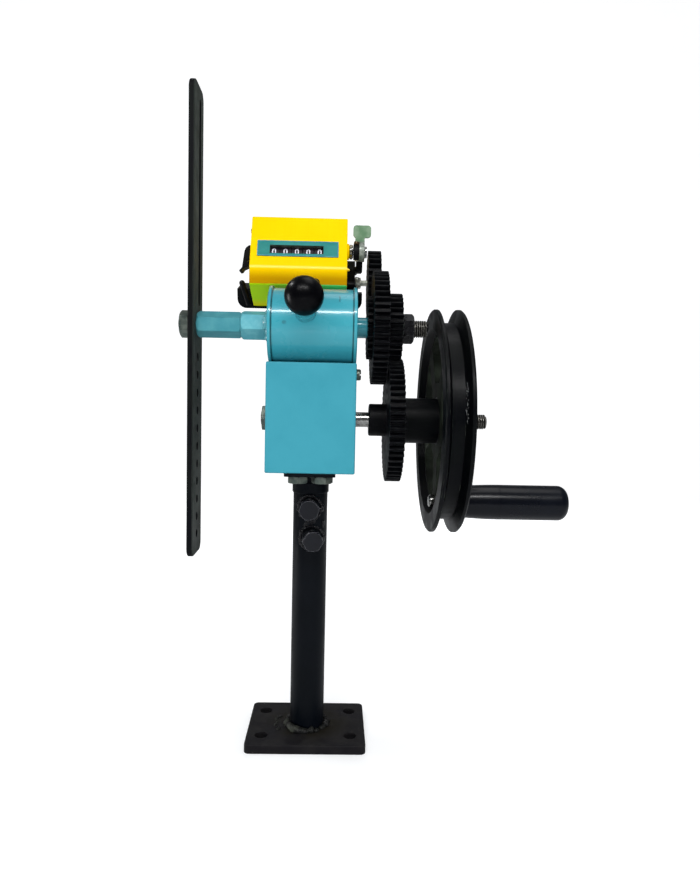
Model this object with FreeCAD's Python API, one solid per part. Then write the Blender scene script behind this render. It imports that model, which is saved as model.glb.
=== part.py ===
import FreeCAD, Part
import math
import os
from FreeCAD import Vector

# Hand-operated coil winding machine. Millimetres, +Z up, origin under the middle of the base plate.
# The spindle and the input shaft run along X: winding arm at -X, gears and crank wheel at +X,
# and the operator stands at -Y.

# general fits
running_gap = 0.06      # radial clearance of a shaft that turns in a bush
slide_gap = 0.1         # radial clearance of the mast in the column
body_gap = 0.4          # between faces of pieces that move past each other

# base and column
base_width = 110.0
base_depth = 88.0
base_thick = 8.0
base_corner = 5.0
base_edge = 1.2
base_hole_r = 6.0
base_hole_x = 82.0
base_hole_y = 50.0
column_r = 16.0
column_wall = 3.0
column_height = 234.0
weld_reach = 7.5
weld_height = 6.0
clamp_size = 10.0
clamp_drop = 22.5
clamp_pitch = 28.5
clamp_nut_thick = 8.0
clamp_nut_sink = 3.0    # depth of each nut in the column's round wall
clamp_bolt_gap = 3.0    # between nut and bolt head
clamp_tip_gap = 0.3
clamp_turns = (0.0, 7.0)  # round the column, and the hexagons' own turns
clamp_head_turns = (10.0, 0.0)
column_band_r = 17.0
column_band_height = 10.0

# hexagon fasteners: across flats and head height for each nominal thread
flats = {6: 10.0, 10: 17.0, 12: 22.0, 14: 22.0, 16: 24.0}
head_height = {6: 4.0, 10: 6.4, 12: 8.5, 14: 9.0, 16: 10.0}

# mast and flange
mast_wall = 3.0
mast_length = 185.0
flange_width = 46.0
flange_depth = 74.0
flange_thick = 3.0
flange_corner = 3.0
flange_bolt = 10.0
flange_bolt_x = 22.0
flange_bolt_y = 54.0
bolt_room = 1.6         # between the top of the column and the flange bolt heads

# gear box: a square housing that carries the input shaft
case_width = 80.0
case_depth = 75.0
case_height = 98.5
case_wall = 5.0
case_edge = 1.5
bush_wall = 4.5
bush_boss_wall = 5.0
bush_length = 16.0
side_screw = 6.0
side_screw_head = 4.8
side_screw_head_r = 5.2
side_screw_slot = 1.2
side_screw_down = 9.5
side_screw_forward = 5.0

# spindle housing: a drum that lies on the gear box
drum_r = 34.5
drum_wall = 5.0
drum_sink = 0.5         # depth of the flat that seats the drum
cap_thick = 3.5
cap_lip = 2.0
boss_r = 9.5
boss_reach = 13.7
inner_boss_r = 16.0
inner_boss_length = 18.0
spindle_bush_wall = 3.5
spindle_bush_inset = 2.0  # from the cap's outer face to the bush
spindle_hole_room = 0.5

# gears, all of one module
module = 2.0
pressure_angle = 20.0
tooth_thinning = 0.35   # half of the running backlash, taken off each tooth
dedendum = 1.25         # in modules
face_width = 13.5
large_tooth_count = 50
small_tooth_count = 30
inner_tooth_count = 27
drive_tooth_count = 55
counter_tooth_count = 30
inner_width = 4.5
gear_room = 0.3         # between the housing's nose and the large spindle gear
counter_gear_shift = 2.5
counter_gear_width = 12.7

# spindle
spindle_r = 7.5
spindle_thread_r = 6.9
spindle_thread_reach = 13.4  # past the nut
lock_washer_thick = 1.6
lock_washer_r = 14.0
key_width = 5.0
key_sink = 2.5
neck_flats = 23.5       # hexagon next to the housing
neck_length = 25.5
neck_turn = 19.0
arbor_flats = 21.0      # hexagon that carries the arm
arbor_length = 40.5
arbor_turn = 33.0
arbor_chamfer = 2.0
arm_stud_r = 6.0

# winding arm
arm_length = 428.0
arm_width = 42.0
arm_thick = 5.5
arm_corner = 9.0
arm_edge = 0.8
arm_slot_width = 8.0
arm_slot_start = 17.0
arm_slot_end = 203.0
arm_slot_offset = 5.0
arm_hole_r = 3.9
arm_hole_first = 30.0
arm_hole_pitch = 16.5
arm_hole_count = 11
arm_washer_thick = 1.5
arm_washer_r = 12.0

# input shaft, drive gear and crank wheel
input_r = 7.0
input_left_reach = 7.0
input_collar_r = 12.0
input_collar_length = 8.0
input_thread_r = 5.9
input_thread_reach = 28.6  # past the wheel
drive_gear_shift = 15.0  # drive gear's left face, to the right of the large gear's left face
drive_hub_r = 15.0
drive_hub_length = 16.0
wheel_hub_r = 21.0
wheel_r = 103.0
wheel_width = 25.0
wheel_room = 26.9       # between the drive gear and the wheel's rim
groove_width = 18.0
groove_floor = 11.0
groove_depth = 12.0
rim_depth = 17.0
rim_draft = 2.0
crest_chamfer = 1.2
web_thick = 9.0
web_inset = 7.0
spoke_count = 5
spoke_width = 20.0
window_inner_r = 36.0
window_land = 3.0       # web left round the windows
window_corner = 8.0
wheel_nut = 14
handle_inset = 27.5     # from the rim to the handle's axis
handle_boss_r = 13.0
stud_r = 4.0
stud_head_r = 6.2
stud_head_height = 5.5
handle_length = 107.6
handle_r = 16.4
handle_neck_r = 14.2
handle_taper = 41.0
handle_round = 9.0
handle_end_wall = 12.0
stud_stop_r = 6.5
stud_stop_length = 4.0

# locking knob on the front of the spindle housing
knob_r = 16.6
knob_reach = 69.0
knob_tilt = 16.5
knob_x = -6.0
knob_rod_r = 5.0
knob_boss_r = 9.0
knob_boss_height = 5.0
knob_tip_gap = 0.6

# capped oil hole behind the knob
oil_cup_x = 0.5
oil_cup_lean = 28.0
oil_cup_r = 5.0
oil_cup_height = 10.0
oil_cup_stem_r = 3.2

# counter: its case leans back, and its own frame runs into the case and up its front face
counter_x = -15.5
counter_width = 91.6
counter_height = 71.0
counter_depth = 80.0
counter_tilt = 22.0
counter_drum_gap = 4.2  # between the case's underside and the spindle housing's caps
counter_front_y = 5.0
counter_wall = 2.5
counter_bend_up = 15.0  # where the front face bends to run straight down
counter_bend_r = 6.0
counter_chin_r = 2.5
counter_top_r = 3.0
counter_end_r = 0.8
seat_in = 48.0          # where the underside turns up towards the back
seat_rise = 26.0        # height of the turned-up part at the back
bezel_width = 76.5
bezel_height = 16.5
bezel_thick = 1.0
bezel_up = 34.7
bezel_shift = -0.9
sight_width = 50.7
sight_height = 9.0
sight_up = 33.7
sight_shift = -2.1
digit_wheel_r = 17.5
digit_wheel_gap = 1.4   # from a number wheel to the inside of the front face
digit_pitch = 10.8
digit_gap = 0.6
digit_count = 5
digit_axle_r = 3.0
mesh_tilt = 51.0        # counter gear's centre, from straight above the spindle
counter_shaft_r = 3.0
shaft_block = 20.0
shaft_block_rise = 11.0  # the block on the gear side stands taller
shaft_block_length = 8.5
shaft_block_corner = 4.0
shaft_collar_r = 5.5
shaft_collar_length = 5.7
shaft_room = 1.0        # round the shaft where it passes the case's wall

# reset lever beside the counter
reset_in = 11.0
reset_up = 40.0
reset_pin_r = 3.0
reset_boss_r = 6.0
reset_boss_length = 5.5
reset_drum_r = 9.0
reset_drum_length = 5.5
reset_plate = 5.0
reset_stem_width = 9.0
reset_stem_foot = 4.0   # the stem's top is this much wider towards the case
reset_tab_bottom = 13.1
reset_tab_height = 11.5
reset_tab_width = 17.0
reset_tab_overhang = 6.0
reset_tab_thick = 3.0
reset_tab_round = 3.0

# cast base under the turned-up part of the counter
counter_base_left = -77.0
counter_base_right = 46.0
counter_base_depth = 38.0
counter_base_floor = 2.5
counter_base_round = 9.0
counter_base_side_gap = 0.5
left_cheek_height = 16.5
right_cheek_height = 14.0
right_cheek_depth = 12.0
stop_post_r = 2.8
stop_post_length = 22.0
stop_post_lean = 17.0
lug_thick = 14.0
lug_in = 22.0
lug_up = 29.5
lug_hole_r = 1.3

# bracket that carries the counter's base on the back of the gear box
bracket_thick = 4.0
bracket_width = 40.0
bracket_drop = 46.0
bracket_bolt = 6.0
bracket_bolt_pitch = 26.0
bracket_bolt_up = 14.0
bracket_back_inset = 2.0
bracket_screw_in = 20.0

# places that follow from the sizes above
drum_length = case_width
column_top = base_thick + column_height
flange_z = column_top + bolt_room + head_height[10]
case_z = flange_z + flange_thick
case_top = case_z + case_height
spindle_z = case_top + drum_r - drum_sink
input_z = spindle_z - module * (small_tooth_count + drive_tooth_count) / 2
gear_start = drum_length / 2 + boss_reach + gear_room  # left face of the large spindle gear
small_gear_x = gear_start + face_width
spindle_stack = small_gear_x + face_width
spindle_right = spindle_stack + lock_washer_thick + head_height[16] + spindle_thread_reach
drive_gear_x = gear_start + drive_gear_shift
mesh_angle = 90.0 - mesh_tilt
counter_centres = module * (large_tooth_count + counter_tooth_count) / 2
counter_y = counter_centres * math.cos(math.radians(mesh_angle))
counter_z = spindle_z + counter_centres * math.sin(math.radians(mesh_angle))
neck_right = -drum_length / 2 - body_gap
neck_left = neck_right - neck_length
arbor_left = neck_left - arbor_length
arm_left = arbor_left - arm_thick
counter_front_z = (spindle_z + (drum_r + cap_lip + counter_drum_gap
                   - counter_front_y * math.sin(math.radians(counter_tilt)))
                   / math.cos(math.radians(counter_tilt)))
counter_right = counter_x + counter_width / 2
counter_left = counter_x - counter_width / 2
wheel_left = drive_gear_x + face_width + wheel_room
wheel_right = wheel_left + wheel_width
input_right = wheel_right + input_thread_reach
rim_inner_r = wheel_r - rim_depth
window_outer_r = rim_inner_r - rim_draft - window_land
handle_radius = wheel_r - handle_inset
wheel_axle_in = counter_wall + digit_wheel_gap + digit_wheel_r
wheel_axle_up = sight_up
seat_angle = math.degrees(math.atan2(seat_rise, counter_depth - seat_in))

X_AXIS = Vector(1, 0, 0)


def slab(x0, x1, y0, y1, z0, z1):
    return Part.makeBox(x1 - x0, y1 - y0, z1 - z0, Vector(x0, y0, z0))


def rod_x(radius, x0, x1, y=0.0, z=0.0):
    return Part.makeCylinder(radius, x1 - x0, Vector(x0, y, z), X_AXIS)


def rod_z(radius, z0, z1, x=0.0, y=0.0):
    return Part.makeCylinder(radius, z1 - z0, Vector(x, y, z0))


def turned_x(outline, y=0.0, z=0.0):
    """Revolve (x, radius) points about an axis along X."""
    points = [Vector(x, y, z + r) for x, r in outline]
    face = Part.Face(Part.makePolygon(points + points[:1]))
    return face.revolve(Vector(0, y, z), X_AXIS, 360)


def plate_profile(points, x0, x1):
    """Extrude (y, z) points along X."""
    ring = [Vector(x0, y, z) for y, z in points]
    return Part.Face(Part.makePolygon(ring + ring[:1])).extrude(Vector(x1 - x0, 0, 0))


def hexagon(across, x0, x1, y=0.0, z=0.0, chamfer=1.0, turn=0.0):
    """Hexagonal bar along X with its corners turned off at both ends."""
    corner = across / math.sqrt(3)
    ring = []
    for i in range(6):
        a = math.radians(60 * i + turn)
        ring.append((y + corner * math.cos(a), z + corner * math.sin(a)))
    bar = plate_profile(ring, x0, x1)
    flat = across / 2
    turned = turned_x([(x0, 0), (x0, flat), (x0 + chamfer, corner), (x1 - chamfer, corner),
                       (x1, flat), (x1, 0)], y, z)
    return bar.common(turned)


def stand_up(shape, x, y, z):
    """Turn a piece made along +X so that it points up +Z, and place it."""
    copy = shape.copy()
    copy.rotate(Vector(0, 0, 0), Vector(0, 1, 0), -90)
    copy.translate(Vector(x, y, z))
    return copy


def face_front(shape, x, y, z):
    """Turn a piece made along +X so that it points to the front, -Y, and place it."""
    copy = shape.copy()
    copy.rotate(Vector(0, 0, 0), Vector(0, 0, 1), -90)
    copy.translate(Vector(x, y, z))
    return copy


def round_edges(shape, radius, chosen):
    edges = [e for e in shape.Edges if chosen(e)]
    return shape.makeFillet(radius, edges)


def along_x(edge):
    return edge.BoundBox.YLength < 0.01 and edge.BoundBox.ZLength < 0.01


def along_z(edge):
    return edge.BoundBox.XLength < 0.01 and edge.BoundBox.YLength < 0.01


def group(pieces):
    return Part.makeCompound(pieces)


# ---------------------------------------------------------------- gears

def tooth_edges(centre, teeth, x, middle):
    """Edges of one tooth and the root land after it; middle is the tooth's angle in radians."""
    pitch_r = module * teeth / 2
    base_r = pitch_r * math.cos(math.radians(pressure_angle))
    tip_r = pitch_r + module
    root_r = pitch_r - dedendum * module
    start_r = max(root_r, base_r)
    thickness = math.pi * module / 2 - tooth_thinning
    alpha = math.radians(pressure_angle)
    half_at_base = thickness / (2 * pitch_r) + math.tan(alpha) - alpha

    def at(radius, side):
        ratio = min(1.0, base_r / radius)
        roll = math.acos(ratio)
        a = middle + side * (half_at_base - (math.tan(roll) - roll))
        return Vector(x, centre[0] + radius * math.cos(a), centre[1] + radius * math.sin(a))

    def at_angle(radius, a):
        return Vector(x, centre[0] + radius * math.cos(a), centre[1] + radius * math.sin(a))

    mid_r = (start_r + tip_r) / 2
    edges = []
    if root_r < start_r:
        edges.append(Part.makeLine(at_angle(root_r, middle - half_at_base), at(start_r, -1)))
    edges.append(Part.Arc(at(start_r, -1), at(mid_r, -1), at(tip_r, -1)).toShape())
    edges.append(Part.makeLine(at(tip_r, -1), at(tip_r, 1)))
    edges.append(Part.Arc(at(tip_r, 1), at(mid_r, 1), at(start_r, 1)).toShape())
    if root_r < start_r:
        edges.append(Part.makeLine(at(start_r, 1), at_angle(root_r, middle + half_at_base)))
        land_start = at_angle(root_r, middle + half_at_base)
        land_end = at_angle(root_r, middle + 2 * math.pi / teeth - half_at_base)
    else:
        land_start = at(start_r, 1)
        turn = 2 * math.pi / teeth
        roll = math.acos(min(1.0, base_r / start_r))
        half = half_at_base - (math.tan(roll) - roll)
        land_end = at_angle(start_r, middle + turn - half)
    edges.append(Part.makeLine(land_start, land_end))
    return edges


def spur_gear(centre, teeth, x0, x1, tooth_at):
    """Spur gear along X; tooth_at is the angle of one tooth from +Y towards +Z, in degrees."""
    edges = []
    for i in range(teeth):
        edges += tooth_edges(centre, teeth, x0, math.radians(tooth_at) + 2 * math.pi * i / teeth)
    wire = Part.Wire(Part.__sortEdges__(edges))
    return Part.Face(wire).extrude(Vector(x1 - x0, 0, 0))


# ---------------------------------------------------------------- stand

def clamp_heights():
    first = column_top - clamp_drop
    return [first, first - clamp_pitch]


def round_column(shape, turn):
    """Turn a piece about the column's axis, in degrees."""
    copy = shape.copy()
    copy.rotate(Vector(0, 0, 0), Vector(0, 0, 1), turn)
    return copy


def base_plate():
    plate = slab(-base_width / 2, base_width / 2, -base_depth / 2, base_depth / 2, 0, base_thick)
    plate = round_edges(plate, base_corner, along_z)
    top = [e for e in plate.Edges if e.BoundBox.ZMin > base_thick - 0.01]
    plate = plate.makeFillet(base_edge, top)
    for sx in (-1, 1):
        for sy in (-1, 1):
            hole = rod_z(base_hole_r, -1, base_thick + 1, sx * base_hole_x / 2, sy * base_hole_y / 2)
            plate = plate.cut(hole)
    return plate


def column_tube():
    tube = rod_z(column_r, base_thick, column_top).cut(
        rod_z(column_r - column_wall, base_thick - 1, column_top + 1))
    for z, turn in zip(clamp_heights(), clamp_turns):
        hole = Part.makeCylinder(clamp_size / 2, column_r + 2, Vector(0, 0, z), Vector(0, -1, 0))
        tube = tube.cut(round_column(hole, turn))
    return tube


def column_band():
    """Band that stiffens the mouth of the column."""
    band = rod_z(column_band_r, column_top - column_band_height, column_top).cut(
        rod_z(column_r, base_thick, column_top + 1))
    return band.makeChamfer(0.4, [e for e in band.Edges if e.BoundBox.ZLength < 0.01
                                  and e.BoundBox.XLength > 2 * column_r + 1])


def foot_weld():
    """Hand-laid fillet weld round the foot of the column."""
    outline = [Vector(column_r, 0, base_thick), Vector(column_r + weld_reach, 0, base_thick),
               Vector(column_r + weld_reach - 1.6, 0, base_thick + 2.2),
               Vector(column_r + 2.0, 0, base_thick + weld_height - 0.8),
               Vector(column_r, 0, base_thick + weld_height)]
    face = Part.Face(Part.makePolygon(outline + outline[:1]))
    return face.revolve(Vector(0, 0, 0), Vector(0, 0, 1), 360)


def clamp_nuts():
    """Nuts welded over the two clamp holes; the lower one sits a little to the right."""
    nuts = []
    for z, turn in zip(clamp_heights(), clamp_turns):
        length = clamp_nut_thick + clamp_nut_sink
        nut = hexagon(flats[10], 0, length, turn=30)
        nut = nut.cut(rod_x(clamp_size / 2, -1, length + 1))
        nut = round_column(face_front(nut, 0, -column_r + clamp_nut_sink, z), turn)
        nuts.append(nut.cut(rod_z(column_r, base_thick, column_top)))
    return group(nuts)


def clamp_bolts():
    """Bolts that press on the mast through the welded nuts."""
    bolts = []
    mast_r = column_r - column_wall - slide_gap
    head_start = column_r + clamp_nut_thick + clamp_bolt_gap
    for z, turn, head_turn in zip(clamp_heights(), clamp_turns, clamp_head_turns):
        shank = rod_x(clamp_size / 2, mast_r + clamp_tip_gap, head_start)
        head = hexagon(flats[10], head_start, head_start + head_height[10], turn=head_turn)
        bolts.append(round_column(face_front(shank.fuse(head), 0, 0, z), turn))
    return group(bolts)


# ---------------------------------------------------------------- mast and gear box

def flange_spots():
    return [(sx * flange_bolt_x / 2, sy * flange_bolt_y / 2) for sx in (-1, 1) for sy in (-1, 1)]


def mast_tube():
    radius = column_r - column_wall - slide_gap
    return rod_z(radius, flange_z - mast_length, flange_z).cut(
        rod_z(radius - mast_wall, flange_z - mast_length - 1, flange_z + 1))


def mast_flange():
    plate = slab(-flange_width / 2, flange_width / 2, -flange_depth / 2, flange_depth / 2,
                 flange_z, flange_z + flange_thick)
    plate = round_edges(plate, flange_corner, along_z)
    for x, y in flange_spots():
        plate = plate.cut(rod_z(flange_bolt / 2, flange_z - 1, case_z + 1, x, y))
    return plate


def flange_bolts():
    bolts = []
    for x, y in flange_spots():
        head = hexagon(flats[10], -head_height[10], 0, turn=20 if x > 0 else 5)
        shank = rod_x(flange_bolt / 2, 0, flange_thick + case_wall)
        bolts.append(stand_up(head.fuse(shank), x, y, flange_z))
    return group(bolts)


def gear_case():
    """Square housing with a boss inside each side wall for the input bushes."""
    w = case_width / 2
    d = case_depth / 2
    case = slab(-w, w, -d, d, case_z, case_top)
    case = case.makeFillet(case_edge, case.Edges)
    case = case.cut(slab(-w + case_wall, w - case_wall, -d + case_wall, d - case_wall,
                         case_z + case_wall, case_top - case_wall))
    boss_radius = input_r + running_gap + bush_wall + bush_boss_wall
    for side in (-1, 1):
        outer = side * (w - 1)
        inner = side * (w - bush_length)
        case = case.fuse(rod_x(boss_radius, min(outer, inner), max(outer, inner), 0, input_z))
    case = case.cut(rod_x(input_r + running_gap + bush_wall, -w - 1, w + 1, 0, input_z))
    for x, y in flange_spots():
        case = case.cut(rod_z(flange_bolt / 2, case_z - 1, case_z + case_wall + 0.01, x, y))
    case = case.cut(rod_x(side_screw / 2, w - case_wall - 1, w + 1, -side_screw_forward,
                          case_top - side_screw_down))
    for x in bracket_bolt_spots():
        case = case.cut(Part.makeCylinder(bracket_bolt / 2, case_wall + 1, Vector(x, d + 1, bracket_bolt_z()),
                                          Vector(0, -1, 0)))
    return case


def input_bushes():
    bushes = []
    w = case_width / 2
    for side in (-1, 1):
        x0 = min(side * w, side * (w - bush_length))
        bush = rod_x(input_r + running_gap + bush_wall, x0, x0 + bush_length, 0, input_z)
        bushes.append(bush.cut(rod_x(input_r + running_gap, x0 - 1, x0 + bush_length + 1, 0, input_z)))
    return group(bushes)


def side_screw_piece():
    w = case_width / 2
    z = case_top - side_screw_down
    shank = rod_x(side_screw / 2, w - case_wall, w, -side_screw_forward, z)
    top = w + side_screw_head
    head = rod_x(side_screw_head_r, w, top, -side_screw_forward, z)
    head = head.makeFillet(1.5, [e for e in head.Edges if e.BoundBox.XMin > top - 0.1])
    half = side_screw_slot / 2
    slot = slab(top - side_screw_slot, top + 1, -side_screw_forward - side_screw_head_r,
                -side_screw_forward + side_screw_head_r, z - half, z + half)
    return head.cut(slot).fuse(shank)


# ---------------------------------------------------------------- spindle housing

def knob_direction():
    a = math.radians(knob_tilt)
    return Vector(0, -math.cos(a), math.sin(a))


def spindle_housing():
    """Drum with a seating flat, open at both ends for the caps."""
    half = drum_length / 2 - cap_thick
    drum = rod_x(drum_r, -half, half, 0, spindle_z)
    drum = drum.cut(rod_x(drum_r - drum_wall, -half - 1, half + 1, 0, spindle_z))
    drum = drum.cut(slab(-half - 1, half + 1, -drum_r, drum_r, case_top - 5, case_top))
    aim = knob_direction()
    centre = Vector(knob_x, 0, spindle_z)
    boss = Part.makeCylinder(knob_boss_r, drum_wall + knob_boss_height,
                             centre + aim * (drum_r - drum_wall + 1), aim)
    boss = boss.cut(rod_x(drum_r - drum_wall, -half, half, 0, spindle_z))
    drum = drum.fuse(boss)
    hole = Part.makeCylinder(knob_rod_r + running_gap, drum_r, centre + aim * inner_boss_r, aim)
    foot, up = oil_cup_foot()
    return drum.cut([hole, Part.makeCylinder(oil_cup_stem_r, 2 * drum_wall, foot, up)])


def end_cap(side):
    """End cap with a lip, an inner boss for the bush and, on the gear side, a nose that is welded on."""
    outer = side * drum_length / 2
    inner = side * (drum_length / 2 - cap_thick)
    cap = rod_x(drum_r + cap_lip, min(outer, inner), max(outer, inner), 0, spindle_z)
    rim = [e for e in cap.Edges if e.BoundBox.XLength < 0.01 and abs(e.BoundBox.XMin - outer) < 0.01]
    cap = cap.makeFillet(1.2, rim)
    deep = side * (drum_length / 2 - inner_boss_length)
    cap = cap.fuse(rod_x(inner_boss_r, min(deep, inner), max(deep, inner), 0, spindle_z))
    if side > 0:
        cap = cap.fuse(rod_x(boss_r, outer, outer + boss_reach, 0, spindle_z))
    cap = cap.cut(rod_x(spindle_r + spindle_hole_room, min(deep, outer) - 1,
                        max(deep, outer) + boss_reach + 1, 0, spindle_z))
    bush_end = outer - side * spindle_bush_inset
    cap = cap.cut(rod_x(bush_outer_r(), min(deep, bush_end) - (0 if side < 0 else 1),
                        max(deep, bush_end) + (1 if side < 0 else 0), 0, spindle_z))
    return cap.cut(slab(-drum_length, drum_length, -drum_r - 5, drum_r + 5, case_top - 10, case_top))


def bush_outer_r():
    return spindle_r + running_gap + spindle_bush_wall


def spindle_bushes():
    bushes = []
    for side in (-1, 1):
        a = side * (drum_length / 2 - spindle_bush_inset)
        b = side * (drum_length / 2 - inner_boss_length)
        bush = rod_x(bush_outer_r(), min(a, b), max(a, b), 0, spindle_z)
        bushes.append(bush.cut(rod_x(spindle_r + running_gap, min(a, b) - 1, max(a, b) + 1, 0, spindle_z)))
    return group(bushes)


def knob_rod():
    """Locking rod: it passes the housing wall and stops just short of the spindle."""
    aim = knob_direction()
    start = Vector(knob_x, 0, spindle_z) + aim * (spindle_r + knob_tip_gap)
    length = knob_reach - knob_r * 0.4 - spindle_r - knob_tip_gap
    return Part.makeCylinder(knob_rod_r, length, start, aim)


def ball_knob():
    aim = knob_direction()
    centre = Vector(knob_x, 0, spindle_z) + aim * knob_reach
    ball = Part.makeSphere(knob_r, centre)
    flat = Part.makeCylinder(knob_r, knob_r, centre - aim * (2 * knob_r * 0.95), aim)
    ball = ball.cut(flat)
    return ball.cut(Part.makeCylinder(knob_rod_r, knob_r * 0.6, centre - aim * knob_r, aim))


def oil_cup_foot():
    """Where the oiler's stem starts inside the housing's wall, and the way it points."""
    a = math.radians(oil_cup_lean)
    aim = Vector(0, -math.sin(a), math.cos(a))
    return Vector(oil_cup_x, 0, spindle_z) + aim * (drum_r - drum_wall), aim


def oil_cup():
    """Capped oiler pressed into the top of the housing."""
    foot, aim = oil_cup_foot()
    stem = Part.makeCylinder(oil_cup_stem_r, 2 * drum_wall, foot, aim)
    cup = Part.makeCylinder(oil_cup_r, oil_cup_height, foot + aim * (drum_wall + 1), aim)
    rim = max((e for e in cup.Edges if e.Closed), key=lambda e: e.BoundBox.ZMax)
    return stem.fuse(cup.makeFillet(2.5, [rim]))


# ---------------------------------------------------------------- spindle

def spindle_key_slab(x0, x1, grow=0.0):
    w = key_width / 2 + grow
    return slab(x0, x1, -w, w, spindle_z + spindle_r - key_sink, spindle_z + spindle_r + key_sink + grow)


def spindle_shaft():
    stud_left = arm_left - arm_washer_thick - head_height[12] - 1.5
    outline = [(stud_left, 0), (stud_left, arm_stud_r - 1), (stud_left + 1, arm_stud_r),
               (arbor_left, arm_stud_r), (arbor_left, spindle_r), (spindle_stack, spindle_r),
               (spindle_stack, spindle_thread_r), (spindle_right - 1, spindle_thread_r),
               (spindle_right, spindle_thread_r - 1), (spindle_right, 0)]
    shaft = turned_x(outline, 0, spindle_z)
    return shaft.cut(spindle_key_slab(gear_start, spindle_stack))


def spindle_key():
    return spindle_key_slab(gear_start, spindle_stack)


def hex_neck():
    bar = hexagon(neck_flats, neck_left, neck_right, 0, spindle_z, 2.0, turn=neck_turn)
    return bar.cut(rod_x(spindle_r, neck_left - 1, neck_right + 1, 0, spindle_z))


def hex_arbor():
    bar = hexagon(arbor_flats, arbor_left, neck_left, 0, spindle_z, arbor_chamfer, turn=arbor_turn)
    return bar.cut(rod_x(spindle_r, arbor_left - 1, neck_left + 1, 0, spindle_z))


def winding_arm():
    """Flat arm: a long slot above the hub, a row of holes below it."""
    half = arm_length / 2
    arm = slab(arm_left, arbor_left, -arm_width / 2, arm_width / 2, spindle_z - half, spindle_z + half)
    arm = round_edges(arm, arm_corner, along_x)
    r = arm_slot_width / 2
    y = arm_slot_offset
    low = spindle_z + arm_slot_start + r
    high = spindle_z + arm_slot_end - r
    for z in (low, high):
        arm = arm.cut(rod_x(r, arm_left - 1, arbor_left + 1, y, z))
    arm = arm.cut(slab(arm_left - 1, arbor_left + 1, y - r, y + r, low, high))
    for i in range(arm_hole_count):
        z = spindle_z - arm_hole_first - i * arm_hole_pitch
        arm = arm.cut(rod_x(arm_hole_r, arm_left - 1, arbor_left + 1, 0, z))
    arm = arm.cut(rod_x(arm_stud_r, arm_left - 1, arbor_left + 1, 0, spindle_z))
    top = spindle_z + half - arm_corner
    bottom = spindle_z - half + arm_corner
    outline = [e for e in arm.Edges if e.BoundBox.XLength < 0.01
               and (e.BoundBox.ZMax > top or e.BoundBox.ZMin < bottom)]
    return arm.makeChamfer(arm_edge, outline)


def arm_washer():
    x0 = arm_left - arm_washer_thick
    return rod_x(arm_washer_r, x0, arm_left, 0, spindle_z).cut(
        rod_x(arm_stud_r, x0 - 1, arm_left + 1, 0, spindle_z))


def arm_nut():
    x1 = arm_left - arm_washer_thick
    nut = hexagon(flats[12], x1 - head_height[12], x1, 0, spindle_z, turn=30)
    return nut.cut(rod_x(arm_stud_r, x1 - 20, x1 + 1, 0, spindle_z))


def spindle_gear_large():
    """Large gear; the nose of the housing turns inside the ring of the inner gear beside it."""
    gear = spur_gear((0, spindle_z), large_tooth_count, gear_start, small_gear_x, mesh_angle)
    gear = gear.cut(rod_x(spindle_r, gear_start - 1, small_gear_x + 1, 0, spindle_z))
    return gear.cut(spindle_key_slab(gear_start - 1, small_gear_x + 1))


def spindle_gear_inner():
    x0 = gear_start - inner_width
    gear = spur_gear((0, spindle_z), inner_tooth_count, x0, gear_start, 0)
    return gear.cut(rod_x(boss_r + 2.5, x0 - 1, gear_start + 1, 0, spindle_z))


def spindle_gear_small():
    gear = spur_gear((0, spindle_z), small_tooth_count, small_gear_x, spindle_stack, -90)
    gear = gear.cut(rod_x(spindle_r, small_gear_x - 1, spindle_stack + 1, 0, spindle_z))
    return gear.cut(spindle_key_slab(small_gear_x - 1, spindle_stack + 1))


def lock_washer():
    x1 = spindle_stack + lock_washer_thick
    return rod_x(lock_washer_r, spindle_stack, x1, 0, spindle_z).cut(
        rod_x(spindle_thread_r, spindle_stack - 1, x1 + 1, 0, spindle_z))


def spindle_nut():
    x0 = spindle_stack + lock_washer_thick
    nut = hexagon(flats[16], x0, x0 + head_height[16], 0, spindle_z, 1.6, turn=30)
    return nut.cut(rod_x(spindle_thread_r, x0 - 1, x0 + 20, 0, spindle_z))


# ---------------------------------------------------------------- input shaft and crank wheel

def web_left():
    return wheel_left + web_inset


def web_right():
    return web_left() + web_thick


def input_shaft():
    left = -case_width / 2 - input_left_reach
    end_of_round = web_right()
    outline = [(left, 0), (left, input_r - 1), (left + 1, input_r), (end_of_round, input_r),
               (end_of_round, input_thread_r), (input_right - 1, input_thread_r),
               (input_right, input_thread_r - 1), (input_right, 0)]
    return turned_x(outline, 0, input_z)


def shaft_retainer():
    """Nut on the far end of the input shaft."""
    x1 = -case_width / 2 - body_gap
    nut = hexagon(flats[14], x1 - (input_left_reach - body_gap - 1.0), x1, 0, input_z)
    return nut.cut(rod_x(input_r, x1 - 20, x1 + 1, 0, input_z))


def inner_collar():
    """Collar inside the gear box; with the nut outside it holds the input shaft endways."""
    x0 = -case_width / 2 + bush_length + body_gap
    collar = rod_x(input_collar_r, x0, x0 + input_collar_length, 0, input_z)
    return collar.cut(rod_x(input_r, x0 - 1, x0 + input_collar_length + 1, 0, input_z))


def drive_gear():
    x1 = drive_gear_x + face_width
    gear = spur_gear((0, input_z), drive_tooth_count, drive_gear_x, x1, 90 + 180.0 / drive_tooth_count)
    hub_left = drive_gear_x - drive_hub_length
    hub = rod_x(drive_hub_r, hub_left, drive_gear_x, 0, input_z)
    hub = hub.makeChamfer(0.8, [e for e in hub.Edges if e.BoundBox.XMax < hub_left + 0.1])
    return gear.fuse(hub).cut(rod_x(input_r, hub_left - 1, x1 + 1, 0, input_z))


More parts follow.
